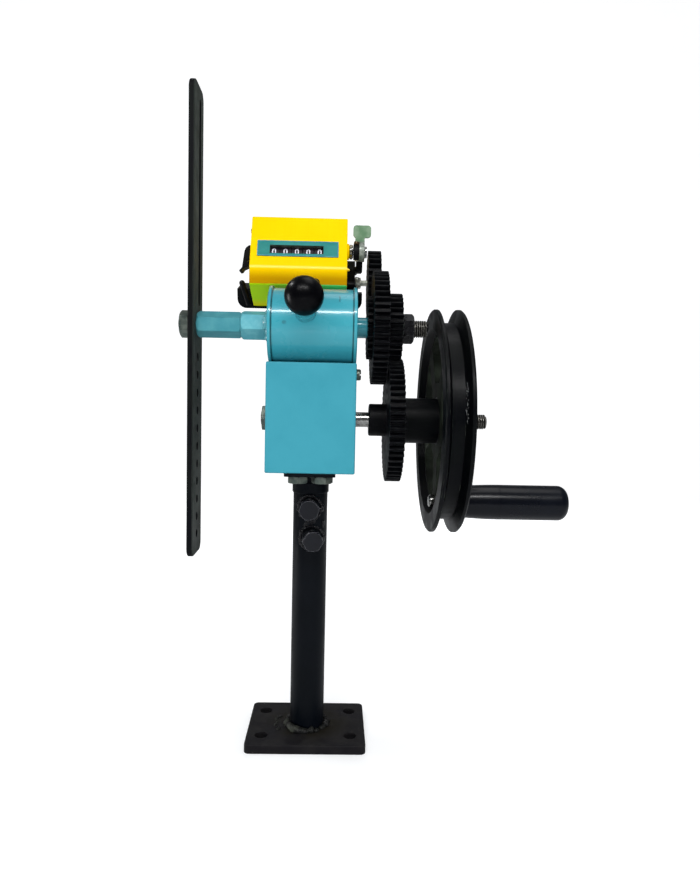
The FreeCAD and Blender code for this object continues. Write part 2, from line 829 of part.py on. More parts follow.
def rim_outline():
    mid = wheel_left + wheel_width / 2
    inner = rim_inner_r
    c = crest_chamfer
    return [(wheel_left, inner), (wheel_left, wheel_r - c), (wheel_left + c, wheel_r),
            (mid - groove_width / 2, wheel_r), (mid - groove_floor / 2, wheel_r - groove_depth),
            (mid + groove_floor / 2, wheel_r - groove_depth), (mid + groove_width / 2, wheel_r),
            (wheel_right - c, wheel_r), (wheel_right, wheel_r - c), (wheel_right, inner),
            (web_right(), inner - rim_draft), (web_left(), inner - rim_draft)]


def wheel_window(index):
    """Opening between two spokes: its sides run parallel to the spokes and its corners are round."""
    x0 = web_left() - 2
    ring = rod_x(window_outer_r, x0, x0 + web_thick + 4, 0, input_z).cut(
        rod_x(window_inner_r, x0 - 1, x0 + web_thick + 5, 0, input_z))
    step = 360.0 / spoke_count
    first = -90 + index * step
    for k, side in ((0, 1), (1, -1)):
        a = first + k * step
        keep = slab(x0 - 2, x0 + web_thick + 6, -wheel_r, wheel_r, -wheel_r, wheel_r)
        keep.translate(Vector(0, 0, side * (wheel_r + spoke_width / 2)))
        keep.rotate(Vector(0, 0, 0), X_AXIS, a)
        keep.translate(Vector(0, 0, input_z))
        ring = ring.common(keep)
    piece = max(ring.Solids, key=lambda s: s.Volume)
    return round_edges(piece, window_corner, lambda e: along_x(e) and e.BoundBox.XLength > web_thick)


def crank_wheel():
    """Spoked wheel with one V groove, a long hub and a boss for the handle on the lowest spoke."""
    wheel = turned_x(rim_outline(), 0, input_z)
    web = rod_x(rim_inner_r - rim_draft / 2, web_left(), web_right(), 0, input_z)
    for i in range(spoke_count):
        web = web.cut(wheel_window(i))
    wheel = wheel.fuse(web)
    wheel = wheel.fuse(rod_x(wheel_hub_r, drive_gear_x + face_width, web_right(), 0, input_z))
    handle_z = input_z - handle_radius
    wheel = wheel.fuse(rod_x(handle_boss_r, web_left(), wheel_right, 0, handle_z))
    wheel = wheel.cut(rod_x(input_r, 0, wheel_right + 1, 0, input_z))
    return wheel.cut(rod_x(stud_r, 0, wheel_right + 1, 0, handle_z))


def wheel_nut_piece():
    x0 = web_right()
    nut = hexagon(flats[14], x0, x0 + head_height[14], 0, input_z, turn=30)
    return nut.cut(rod_x(input_thread_r, x0 - 1, x0 + 20, 0, input_z))


def handle_stud():
    """Bolt through the wheel that the handle turns on, with its head on the gear side."""
    z = input_z - handle_radius
    head = rod_x(stud_head_r, web_left() - stud_head_height, web_left(), 0, z)
    head = head.makeFillet(2.5, [e for e in head.Edges if e.BoundBox.XMax < web_left() - 1])
    stud = head.fuse(rod_x(stud_r, web_left(), stud_end(), 0, z))
    return stud.fuse(rod_x(stud_stop_r, stud_end() - stud_stop_length, stud_end(), 0, z))


def stud_end():
    return wheel_right + handle_length - handle_end_wall - body_gap


def handle_grip():
    """Turned grip that spins on its stud; a hollow near its end holds the stud's stop."""
    z = input_z - handle_radius
    x0 = wheel_right + body_gap
    x1 = wheel_right + handle_length
    start = Vector(x0, 0, z)
    points = [Vector(x0, 0, z + handle_neck_r), Vector(x0 + handle_taper, 0, z + handle_r),
              Vector(x1 - handle_round, 0, z + handle_r), Vector(x1, 0, z + handle_r - handle_round)]
    turn = Vector(x1 - handle_round * (1 - math.cos(math.pi / 4)), 0,
                  z + handle_r - handle_round * (1 - math.sin(math.pi / 4)))
    swell = Part.Arc(points[0], Vector(x0 + handle_taper * 0.5, 0, z + (handle_neck_r + handle_r) / 2 + 0.5),
                     points[1]).toShape()
    edges = [Part.makeLine(start, points[0]), swell, Part.makeLine(points[1], points[2]),
             Part.Arc(points[2], turn, points[3]).toShape(), Part.makeLine(points[3], Vector(x1, 0, z)),
             Part.makeLine(Vector(x1, 0, z), start)]
    grip = Part.Face(Part.Wire(edges)).revolve(Vector(0, 0, z), X_AXIS, 360)
    stop_start = stud_end() - stud_stop_length - body_gap
    grip = grip.cut(rod_x(stud_r + running_gap, x0 - 1, stop_start + 1, 0, z))
    return grip.cut(rod_x(stud_stop_r + body_gap, stop_start, x1 - handle_end_wall, 0, z))


# ---------------------------------------------------------------- counter

def tilted(shape):
    """Place a piece made in the counter's own frame: +Y into the case, +Z up its front face."""
    copy = shape.copy()
    copy.rotate(Vector(0, 0, 0), X_AXIS, -counter_tilt)
    copy.translate(Vector(0, counter_front_y, counter_front_z))
    return copy


def place_tilted(depth, height):
    """World (y, z) of a point given in the counter's own frame."""
    a = math.radians(counter_tilt)
    y = counter_front_y + depth * math.cos(a) + height * math.sin(a)
    z = counter_front_z - depth * math.sin(a) + height * math.cos(a)
    return y, z


def shaft_in_counter():
    """The counter shaft's axis in the counter's own frame."""
    a = math.radians(counter_tilt)
    y = counter_y - counter_front_y
    z = counter_z - counter_front_z
    return y * math.cos(a) - z * math.sin(a), y * math.sin(a) + z * math.cos(a)


def hood_form(inset):
    """The case's side profile, set in by the wall: a bent front, a straight chin, a floor that turns up."""
    chin = counter_bend_up * math.tan(math.radians(counter_tilt))
    corners = [(0, counter_height), (0, counter_bend_up), (chin, 0), (seat_in, 0),
               (counter_depth, seat_rise), (counter_depth, counter_height)]
    ring = [Vector(counter_left + inset, y, z) for y, z in corners]
    wire = Part.makePolygon(ring + ring[:1])
    if inset > 0:
        wire = Part.Face(wire).makeOffset2D(-inset).OuterWire
    form = Part.Face(wire).extrude(Vector(counter_width - 2 * inset, 0, 0))
    rounds = [(counter_bend_up, counter_bend_r), (0, counter_chin_r), (counter_height, counter_top_r)]
    for height, radius in rounds:
        low = height - inset - 1
        high = height + inset + 1
        form = round_edges(form, max(radius - inset, 0.4), lambda e: along_x(e)
                           and low < e.BoundBox.ZMin < high and e.BoundBox.YMax < chin + inset + 1)
    return form


def sight_opening(y0, y1):
    middle = counter_x + sight_shift
    return slab(middle - sight_width / 2, middle + sight_width / 2, y0, y1,
                sight_up - sight_height / 2, sight_up + sight_height / 2)


def counter_case():
    """Hood of the counter, with the sight opening in its front."""
    case = hood_form(0)
    sides = [e for e in case.Edges if e.BoundBox.XLength < 0.01]
    case = case.makeFillet(counter_end_r, sides)
    case = case.cut(hood_form(counter_wall))
    case = case.cut(sight_opening(-1, counter_wall + 1))
    case = tilted(case)
    case = case.cut(rod_x(counter_shaft_r + shaft_room, counter_left + counter_wall + 1, counter_right + 1,
                          counter_y, counter_z))
    y, z = place_tilted(reset_in, reset_up)
    return case.cut(rod_x(reset_pin_r, counter_right - counter_wall - 1, counter_right + 1, y, z))


def counter_bezel():
    middle = counter_x + bezel_shift
    plate = slab(middle - bezel_width / 2, middle + bezel_width / 2, -bezel_thick, 0,
                 bezel_up - bezel_height / 2, bezel_up + bezel_height / 2)
    return tilted(plate.cut(sight_opening(-bezel_thick - 1, 1)))


def digit_wheel(index):
    """Number wheel; index 0 is the units wheel, at the right."""
    y, z = place_tilted(wheel_axle_in, wheel_axle_up)
    middle = counter_x + sight_shift + (digit_count - 1) / 2 * digit_pitch - index * digit_pitch
    half = (digit_pitch - digit_gap) / 2
    wheel = rod_x(digit_wheel_r, middle - half, middle + half, y, z)
    room = running_gap if index == 0 else 0.0
    return wheel.cut(rod_x(digit_axle_r + room, middle - half - 1, middle + half + 1, y, z))


def digit_wheels_carried():
    return group([digit_wheel(i) for i in range(1, digit_count)])


def digit_axle():
    y, z = place_tilted(wheel_axle_in, wheel_axle_up)
    return rod_x(digit_axle_r, counter_left + counter_wall, counter_right - counter_wall, y, z)


def shaft_block_spots():
    """Left faces of the two bearing blocks: one inside the case's far wall, one outside on the gear side."""
    return [counter_left + counter_wall, counter_right]


def shaft_blocks():
    """Bearing blocks of the counter shaft."""
    inward, up = shaft_in_counter()
    half = shaft_block / 2
    blocks = []
    for x0, rise in zip(shaft_block_spots(), (0.0, shaft_block_rise)):
        x1 = x0 + shaft_block_length
        block = slab(x0, x1, inward - half, inward + half, up - half, up + half + rise)
        block = round_edges(block, shaft_block_corner, along_x)
        bore = rod_x(counter_shaft_r + running_gap, x0 - 1, x1 + 1, counter_y, counter_z)
        blocks.append(tilted(block).cut(bore))
    return group(blocks)


def counter_shaft():
    left = counter_left + counter_wall + 1
    right = gear_start - counter_gear_shift + counter_gear_width
    return rod_x(counter_shaft_r, left, right, counter_y, counter_z)


def counter_gear():
    x0 = gear_start - counter_gear_shift
    x1 = x0 + counter_gear_width
    half_tooth = 180.0 / counter_tooth_count
    gear = spur_gear((counter_y, counter_z), counter_tooth_count, x0, x1, mesh_angle + 180 + half_tooth)
    return gear.cut(rod_x(counter_shaft_r, x0 - 1, x1 + 1, counter_y, counter_z))


def counter_collars():
    """Collars beside the two bearing blocks, which hold the counter shaft endways."""
    collars = []
    for spot in shaft_block_spots():
        x0 = spot + shaft_block_length + body_gap
        collar = rod_x(shaft_collar_r, x0, x0 + shaft_collar_length, counter_y, counter_z)
        collar = collar.makeChamfer(0.5, [e for e in collar.Edges if e.BoundBox.XLength < 0.01])
        collars.append(collar.cut(rod_x(counter_shaft_r, x0 - 1, x0 + 20, counter_y, counter_z)))
    return group(collars)


def reset_lever_spots():
    """The x places of the lever's drum, plate and far side."""
    start = counter_right + reset_boss_length + body_gap
    plate = start + reset_drum_length
    return start, plate, plate + reset_plate


def reset_boss():
    y, z = place_tilted(reset_in, reset_up)
    boss = rod_x(reset_boss_r, counter_right, counter_right + reset_boss_length, y, z)
    return boss.cut(rod_x(reset_pin_r, counter_right - 1, counter_right + 20, y, z))


def reset_pin():
    """Fixed pin that the reset lever turns on; its head keeps the lever on."""
    y, z = place_tilted(reset_in, reset_up)
    far = reset_lever_spots()[2] + body_gap
    pin = rod_x(reset_pin_r, counter_right - counter_wall, far, y, z)
    return pin.fuse(rod_x(reset_pin_r + 2.5, far, far + 2.0, y, z))


def reset_cam():
    """Cam disc on the lever's inner side; it knocks the number wheels back."""
    y, z = place_tilted(reset_in, reset_up)
    x0, x1, x2 = reset_lever_spots()
    cam = rod_x(reset_drum_r - 1.5, x0, x1, y, z)
    return cam.cut(rod_x(reset_pin_r + running_gap, x0 - 1, x1 + 1, y, z))


def reset_lever():
    """Lever beside the case, with a thumb tab across its top."""
    y, z = place_tilted(reset_in, reset_up)
    x0, x1, x2 = reset_lever_spots()
    lever = rod_x(reset_drum_r, x1, x2, y, z)
    half = reset_stem_width / 2
    lever = lever.fuse(slab(x1, x2, y - half, y + half, z, z + reset_tab_bottom + 2))
    lever = lever.fuse(slab(x1 - reset_stem_foot, x2, y - half, y - half + reset_tab_thick,
                            z + reset_drum_r, z + reset_tab_bottom + 2))
    x3 = x2 + reset_tab_overhang
    tab = slab(x3 - reset_tab_width, x3, y - half, y - half + reset_tab_thick,
               z + reset_tab_bottom, z + reset_tab_bottom + reset_tab_height)
    tab = round_edges(tab, reset_tab_round, lambda e: e.BoundBox.XLength < 0.01 and e.BoundBox.ZLength < 0.01)
    lever = lever.fuse(tab)
    return lever.cut(rod_x(reset_pin_r + running_gap, x1 - 1, x2 + 1, y, z))


def end_lug():
    """Sheet lug with a hooked foot on the far side of the case."""
    y0, top = place_tilted(lug_in, lug_up + 9)
    x = counter_left
    outline = [(x, top + 12), (x - 4, top + 11.6), (x - 7, top + 9.4), (x - 8.4, top + 6),
               (x - 10.6, top - 9.6), (x - 13.4, top - 12.6), (x - 13, top - 13.6), (x - 11.2, top - 13.4),
               (x - 9, top - 10.6), (x - 5, top - 8.6), (x, top - 8)]
    ring = [Vector(px, y0, pz) for px, pz in outline]
    lug = Part.Face(Part.makePolygon(ring + ring[:1])).extrude(Vector(0, lug_thick, 0))
    hole = Part.makeCylinder(lug_hole_r, lug_thick + 2, Vector(x - 5, y0 - 1, top - 3), Vector(0, 1, 0))
    return lug.cut(hole)


# ---------------------------------------------------------------- counter's base and bracket

def along_y(edge):
    return edge.BoundBox.XLength < 0.01 and edge.BoundBox.ZLength < 0.01


def seated(shape):
    """Place a piece made in the seat's frame: +Y up the turned-up underside, +Z square to it."""
    copy = shape.copy()
    copy.rotate(Vector(0, 0, 0), X_AXIS, seat_angle)
    copy.translate(Vector(0, seat_in, 0))
    return tilted(copy)


def place_seated(inward, up):
    """World (y, z) of a point given in the seat's frame."""
    a = math.radians(seat_angle)
    return place_tilted(seat_in + inward * math.cos(a) - up * math.sin(a),
                        inward * math.sin(a) + up * math.cos(a))


def counter_base():
    """Cast floor with a cheek at each end; the left one carries a leaning stop post."""
    floor = -counter_base_floor
    depth = counter_base_depth
    base = slab(counter_base_left, counter_base_right, 0, depth, floor, left_cheek_height)
    base = round_edges(base, counter_base_round, lambda e: along_y(e) and e.BoundBox.ZMax < 0)
    inner_left = counter_left - counter_base_side_gap
    inner_right = counter_right + counter_base_side_gap
    base = base.cut(slab(inner_left, inner_right, -1, depth + 1, 0, left_cheek_height + 1))
    base = base.cut(slab(inner_right - 1, counter_base_right + 1, -1, depth + 1, right_cheek_height,
                         left_cheek_height + 1))
    base = base.cut(slab(inner_right, counter_base_right + 1, right_cheek_depth, depth + 1, floor - 1,
                         left_cheek_height + 1))
    lean = math.radians(stop_post_lean)
    foot = Vector(inner_left - stop_post_r - 1, 0, 1)
    way = Vector(-math.sin(lean), 0, math.cos(lean))
    post = Part.makeCylinder(stop_post_r, stop_post_length, foot, way)
    post = post.fuse(Part.makeSphere(stop_post_r, foot + way * stop_post_length))
    base = base.fuse(post).removeSplitter()
    for x in bracket_bolt_spots():
        base = base.cut(rod_z(bracket_bolt / 2, floor - 1, 1, x, bracket_screw_in))
    return seated(base)


def bracket_bolt_spots():
    return [-bracket_bolt_pitch / 2, bracket_bolt_pitch / 2]


def bracket_bolt_z():
    return case_top - bracket_drop + bracket_bolt_up


def counter_bracket():
    """Bent strip: upright on the back of the gear box, then a flange under the counter's base."""
    back = case_depth / 2
    slope = math.radians(seat_angle - counter_tilt)
    start_y, start_z = place_seated(0, 0)
    top = -counter_base_floor
    low = top - bracket_thick

    def meet(height, y):
        """World z where the plane at this height above the seat passes y."""
        inward = (y - start_y + height * math.sin(slope)) / math.cos(slope)
        return start_z + inward * math.sin(slope) + height * math.cos(slope)

    end = counter_base_depth - bracket_back_inset
    profile = [(back, case_top - bracket_drop), (back, meet(top, back)), place_seated(end, top),
               place_seated(end, low), (back + bracket_thick, meet(low, back + bracket_thick)),
               (back + bracket_thick, case_top - bracket_drop)]
    strip = plate_profile(profile, -bracket_width / 2, bracket_width / 2)
    for x in bracket_bolt_spots():
        hole = Part.makeCylinder(bracket_bolt / 2, bracket_thick + 2,
                                 Vector(x, back - 1, bracket_bolt_z()), Vector(0, 1, 0))
        strip = strip.cut(hole)
        strip = strip.cut(seated(rod_z(bracket_bolt / 2, low - 1, top + 1, x, bracket_screw_in)))
    return strip


def bracket_bolts():
    """Two bolts into the back of the gear box and two up into the counter's base."""
    bolts = []
    back = case_depth / 2
    for x in bracket_bolt_spots():
        shank = rod_x(bracket_bolt / 2, -(case_wall + bracket_thick), 0)
        bolt = shank.fuse(hexagon(flats[6], 0, head_height[6], chamfer=0.6))
        bolt.rotate(Vector(0, 0, 0), Vector(0, 0, 1), 90)
        bolt.translate(Vector(x, back + bracket_thick, bracket_bolt_z()))
        bolts.append(bolt)
        shank = rod_x(bracket_bolt / 2, 0, bracket_thick + counter_base_floor)
        screw = shank.fuse(hexagon(flats[6], -head_height[6], 0, chamfer=0.6))
        screw = stand_up(screw, x, bracket_screw_in, -counter_base_floor - bracket_thick)
        bolts.append(seated(screw))
    return group(bolts)


parts = {
    "base_plate": base_plate,
    "column_tube": column_tube,
    "column_band": column_band,
    "foot_weld": foot_weld,
    "clamp_nuts": clamp_nuts,
    "clamp_bolts": clamp_bolts,
    "mast_tube": mast_tube,
    "mast_flange": mast_flange,
    "flange_bolts": flange_bolts,
    "gear_case": gear_case,
    "input_bushes": input_bushes,
    "side_screw": side_screw_piece,
    "spindle_housing": spindle_housing,
    "housing_cap_left": lambda: end_cap(-1),
    "housing_cap_right": lambda: end_cap(1),
    "spindle_bushes": spindle_bushes,
    "oil_cup": oil_cup,
    "lock_rod": knob_rod,
    "lock_knob": ball_knob,
    "spindle_shaft": spindle_shaft,
    "spindle_key": spindle_key,
    "hex_neck": hex_neck,
    "hex_arbor": hex_arbor,
    "winding_arm": winding_arm,
    "arm_washer": arm_washer,
    "arm_nut": arm_nut,
    "spindle_gear_large": spindle_gear_large,
    "spindle_gear_inner": spindle_gear_inner,
    "spindle_gear_small": spindle_gear_small,
    "lock_washer": lock_washer,
    "spindle_nut": spindle_nut,
    "input_shaft": input_shaft,
    "shaft_retainer": shaft_retainer,
    "inner_collar": inner_collar,
    "drive_gear": drive_gear,
    "crank_wheel": crank_wheel,
    "wheel_nut": wheel_nut_piece,
    "handle_stud": handle_stud,
    "handle_grip": handle_grip,
    "counter_case": counter_case,
    "counter_bezel": counter_bezel,
    "units_wheel": lambda: digit_wheel(0),
    "number_wheels": digit_wheels_carried,
    "number_axle": digit_axle,
    "shaft_blocks": shaft_blocks,
    "counter_shaft": counter_shaft,
    "counter_gear": counter_gear,
    "shaft_collars": counter_collars,
    "reset_boss": reset_boss,
    "reset_pin": reset_pin,
    "reset_cam": reset_cam,
    "reset_lever": reset_lever,
    "end_lug": end_lug,
    "counter_base": counter_base,
    "counter_bracket": counter_bracket,
    "bracket_bolts": bracket_bolts,
}

os.makedirs("parts", exist_ok=True)
for name, build in parts.items():
    build().exportStep("parts/" + name + ".step")
print("spindle axis z", round(spindle_z, 3), "input axis z", round(input_z, 3))
print("counter shaft y, z", round(counter_y, 3), round(counter_z, 3))
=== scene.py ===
import bpy
import bmesh
import math
import random
from mathutils import Euler, Matrix, Vector, noise


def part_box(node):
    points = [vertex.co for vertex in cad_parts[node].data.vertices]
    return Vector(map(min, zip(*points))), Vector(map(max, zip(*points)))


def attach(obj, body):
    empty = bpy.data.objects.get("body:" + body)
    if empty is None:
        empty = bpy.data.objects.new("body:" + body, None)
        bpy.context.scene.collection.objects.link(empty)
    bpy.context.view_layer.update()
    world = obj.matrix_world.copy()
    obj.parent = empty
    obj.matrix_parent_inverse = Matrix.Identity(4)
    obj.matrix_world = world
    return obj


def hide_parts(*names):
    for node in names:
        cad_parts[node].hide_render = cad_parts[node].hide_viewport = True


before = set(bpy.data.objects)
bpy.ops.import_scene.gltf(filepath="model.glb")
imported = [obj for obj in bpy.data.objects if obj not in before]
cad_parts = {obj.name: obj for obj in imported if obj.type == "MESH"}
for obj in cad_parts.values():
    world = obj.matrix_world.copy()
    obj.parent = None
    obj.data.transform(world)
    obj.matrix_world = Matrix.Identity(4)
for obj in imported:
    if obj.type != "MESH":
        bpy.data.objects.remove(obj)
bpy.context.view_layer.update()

# Coil winding machine: finishes and small pieces around the CAD frame. Metres, as the frame is;
# sizes in the dictionaries are in millimetres and degrees.
mm = 0.001
fullTurn = 2 * math.pi
scene = bpy.context.scene


# places read from the frame

def middle(node):
    low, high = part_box(node)
    return (low + high) / 2


def halfHigh(node):
    # radius of a round node that lies along X
    low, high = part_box(node)
    return (high.z - low.z) / 2


spindleAxis = middle("spindle_shaft")
inputAxis = middle("input_shaft")
handleAxis = middle("handle_grip")
counterAxis = middle("counter_gear")
pinAxis = middle("reset_pin")
xWay = Vector((1, 0, 0))


def addObject(name, data):
    made = bpy.data.objects.new(name, data)
    scene.collection.objects.link(made)
    return made


# camera

cameraPlace = {"x": 21.5, "y": -654.0, "z": 327.0, "tilt": 86.2, "turn": -1.27, "roll": 1.2, "lens": 28.8}


def makeCamera(spot):
    data = bpy.data.cameras.new("camera")
    data.sensor_width = 36.0
    data.lens = spot["lens"]
    data.clip_start = 0.01
    camera = addObject("camera", data)
    aim = Euler((math.radians(spot["tilt"]), 0, math.radians(spot["turn"]))).to_matrix().to_4x4()
    spin = Matrix.Rotation(math.radians(spot["roll"]), 4, "Z")
    camera.matrix_world = Matrix.Translation(Vector((spot["x"], spot["y"], spot["z"])) * mm) @ aim @ spin
    scene.camera = camera


makeCamera(cameraPlace)
print("camera set")


# node tools

def tone(red, bounceGreen, blue):
    # 0-255 screen colour to a linear colour
    def linear(value):
        value = value / 255
        return value / 12.92 if value <= 0.04045 else ((value + 0.055) / 1.055) ** 2.4
    return (linear(red), linear(bounceGreen), linear(blue), 1.0)


def feed(tree, socket, value):
    if isinstance(value, bpy.types.NodeSocket):
        tree.links.new(value, socket)
    else:
        socket.default_value = value


def newNode(tree, kind, inputs=None, group=None):
    made = tree.nodes.new("ShaderNode" + kind)
    if group:
        made.node_tree = group
    for label, value in (inputs or {}).items():
        feed(tree, made.inputs[label], value)
    return made


def calc(tree, operation, *terms, kind="Math"):
    made = newNode(tree, kind)
    made.operation = operation
    for socket, term in zip(made.inputs, terms):
        feed(tree, socket, term)
    return made.outputs[0]


def vectorCalc(tree, operation, *terms):
    return calc(tree, operation, *terms, kind="VectorMath")


def vectorValue(tree, operation, *terms):
    return vectorCalc(tree, operation, *terms).node.outputs["Value"]


def allOf(tree, mask, *others):
    for other in others:
        mask = calc(tree, "MULTIPLY", mask, other)
    return mask


def ramp(tree, value, low, high, toLow=0.0, toHigh=1.0):
    made = newNode(tree, "MapRange", {
        "Value": value, "From Min": low, "From Max": high, "To Min": toLow, "To Max": toHigh})
    made.interpolation_type = "SMOOTHSTEP"
    return made.outputs[0]


def cloud(tree, scale, detail=4.0, rough=0.55, vector=None):
    made = newNode(tree, "TexNoise", {
        "Vector": vector or objectPoint(tree), "Scale": scale, "Detail": detail, "Roughness": rough})
    return made.outputs["Fac"]


def blendColour(tree, mask, first, second):
    # mixes screen tones or the colours of other nodes
    made = newNode(tree, "Mix")
    made.data_type = "RGBA"
    for index, term in ((0, mask), (6, first), (7, second)):
        feed(tree, made.inputs[index], tone(*term) if isinstance(term, tuple) else term)
    return made.outputs[2]


def place(tree, group, **values):
    return newNode(tree, "Group", values, group).outputs


def maskOf(tree, group, **values):
    return place(tree, group, **values)["Mask"]


def objectPoint(tree):
    return newNode(tree, "TexCoord").outputs["Object"]


def split(tree, vector):
    return newNode(tree, "SeparateXYZ", {"Vector": vector}).outputs


def newGroup(name, lay, **takes):
    # lay puts in the nodes and says what comes out; a tuple makes a vector socket, a number a plain one
    tree = bpy.data.node_groups.new(name, "ShaderNodeTree")

    def socket(label, way, vector):
        kind = "NodeSocketVector" if vector else "NodeSocketFloat"
        return tree.interface.new_socket(label, in_out=way, socket_type=kind)

    for label, value in takes.items():
        socket(label, "INPUT", isinstance(value, tuple)).default_value = value
    gives = lay(tree, tree.nodes.new("NodeGroupInput").outputs)
    for label in gives:
        socket(label, "OUTPUT", label == "Normal")
    end = tree.nodes.new("NodeGroupOutput")
    for label, value in gives.items():
        feed(tree, end.inputs[label], value)
    return tree


# shared effects, each a node group

def layEdges(tree, takes):
    # rounded edge normal, and a mask of edges that take the edge tone: rubbed wear, and on the bolt heads a painted
    # glint
    bevel = newNode(tree, "Bevel", {"Radius": takes["Radius"]})
    bevel.samples = 6
    flat = newNode(tree, "NewGeometry").outputs["Normal"]
    straight = vectorValue(tree, "DOT_PRODUCT", bevel.outputs[0], flat)
    bend = ramp(tree, calc(tree, "SUBTRACT", 1.0, straight), 0.01, 0.16)
    patch = cloud(tree, takes["Scale"], 5.0, 0.65)
    start = calc(tree, "SUBTRACT", 0.86, calc(tree, "MULTIPLY", takes["Amount"], 0.7))
    wornAndGlintEdge = ramp(tree, patch, start, calc(tree, "ADD", start, 0.12))
    return {"Normal": bevel.outputs[0], "Mask": allOf(tree, bend, wornAndGlintEdge)}


def layMottle(tree, takes):
    # soft uneven patches, 0 to 1
    patch = cloud(tree, takes["Scale"], 6.0, 0.6)
    return {"Mask": ramp(tree, patch, takes["Low"], takes["High"])}


def layGrain(tree, takes):
    # height of paint skin, casting or weld
    fine = calc(tree, "MULTIPLY", cloud(tree, takes["Fine"], 2.0), 0.5)
    coarse = calc(tree, "MULTIPLY", cloud(tree, takes["Coarse"], 3.0), 0.5)
    return {"Height": calc(tree, "ADD", fine, coarse)}


def awayFrom(tree, offset, flatten):
    return vectorValue(tree, "LENGTH", vectorCalc(tree, "MULTIPLY", offset, flatten))


def layTurned(tree, takes):
    # lathe rings about an axis along X
    offset = vectorCalc(tree, "SUBTRACT", objectPoint(tree), takes["Centre"])
    rings = newNode(tree, "TexNoise", {"Detail": 3.0, "Scale": takes["Scale"]})
    rings.noise_dimensions = "1D"
    feed(tree, rings.inputs["W"], calc(tree, "ADD", awayFrom(tree, offset, (0, 1, 1)), split(tree, offset)["X"]))
    return {"Height": rings.outputs["Fac"]}


def layZone(tree, takes):
    # 1 between two radii about an axis; Flatten drops the part along the axis
    radius = awayFrom(tree, vectorCalc(tree, "SUBTRACT", objectPoint(tree), takes["Centre"]), takes["Flatten"])
    sides = []
    for limit, low, high in (("Inner", 0.0, 1.0), ("Outer", 1.0, 0.0)):
        start, end = [calc(tree, way, takes[limit], takes["Soft"]) for way in ("SUBTRACT", "ADD")]
        sides.append(ramp(tree, radius, start, end, low, high))
    return {"Mask": allOf(tree, *sides)}


def layDust(tree, takes):
    # pale dust that lies on what faces up
    upward = ramp(tree, split(tree, newNode(tree, "TexCoord").outputs["Normal"])["Z"], 0.1, 0.95)
    patch = ramp(tree, cloud(tree, takes["Scale"], 7.0, 0.7), 0.35, 0.75)
    return {"Mask": allOf(tree, upward, patch, takes["Amount"])}


def layFacing(tree, takes):
    # faces that look one way
    along = vectorValue(tree, "DOT_PRODUCT", newNode(tree, "TexCoord").outputs["Normal"], takes["Way"])
    return {"Mask": ramp(tree, along, takes["Start"], takes["End"])}


def layBand(tree, takes):
    # 1 between two heights
    height = split(tree, objectPoint(tree))["Z"]
    rise = ramp(tree, height, takes["Low"], calc(tree, "ADD", takes["Low"], takes["Soft"]))
    fall = ramp(tree, height, calc(tree, "SUBTRACT", takes["High"], takes["Soft"]), takes["High"], 1.0, 0.0)
    return {"Mask": allOf(tree, rise, fall)}


def layCrevice(tree, takes):
    # painted shade where faces meet, with some grime: ambient occlusion darkens the colour there
    shut = newNode(tree, "AmbientOcclusion", {"Distance": takes["Distance"]})
    shut.samples = 6
    closed = ramp(tree, shut.outputs["AO"], 0.35, 0.95, 1.0, 0.0)
    uneven = ramp(tree, cloud(tree, 400), 0.3, 0.6, 0.5, 1.0)
    return {"Mask": allOf(tree, closed, uneven, takes["Amount"])}


def laySpecks(tree, takes):
    # a few small marks
    point = objectPoint(tree)
    wobble = newNode(tree, "TexNoise", {"Vector": point, "Scale": 260})
    shift = vectorCalc(tree, "SCALE", wobble.outputs["Color"])
    shift.node.inputs["Scale"].default_value = 0.006
    cells = newNode(tree, "TexVoronoi", {"Scale": takes["Scale"], "Vector": vectorCalc(tree, "ADD", point, shift)})
    spot = ramp(tree, cells.outputs["Distance"], 0.0, takes["Size"], 1.0, 0.0)
    some = ramp(tree, cloud(tree, 22), 0.5, 0.62)
    return {"Mask": allOf(tree, spot, some)}


edgeWearGlintGroup = newGroup("edgeWearAndGlint", layEdges, Radius=0.0004, Amount=0.4, Scale=120)
mottleGroup = newGroup("mottle", layMottle, Scale=30, Low=0.4, High=0.65)
grainGroup = newGroup("grain", layGrain, Fine=2000, Coarse=300)
turnedGroup = newGroup("turned", layTurned, Centre=(0, 0, 0), Scale=900)
zoneGroup = newGroup("zone", layZone, Centre=(0, 0, 0), Flatten=(1, 1, 0), Inner=0.0, Outer=0.02, Soft=0.002)
dustGroup = newGroup("dust", layDust, Scale=90, Amount=0.3)
facingGroup = newGroup("facing", layFacing, Way=(0, 0, -1), Start=0.2, End=0.7)
bandGroup = newGroup("band", layBand, Low=0.0, High=0.01, Soft=0.001)
creviceShadeGroup = newGroup("creviceShade", layCrevice, Distance=0.003, Amount=0.6)
speckGroup = newGroup("specks", laySpecks, Scale=60, Size=0.08)
print("shared effects built")
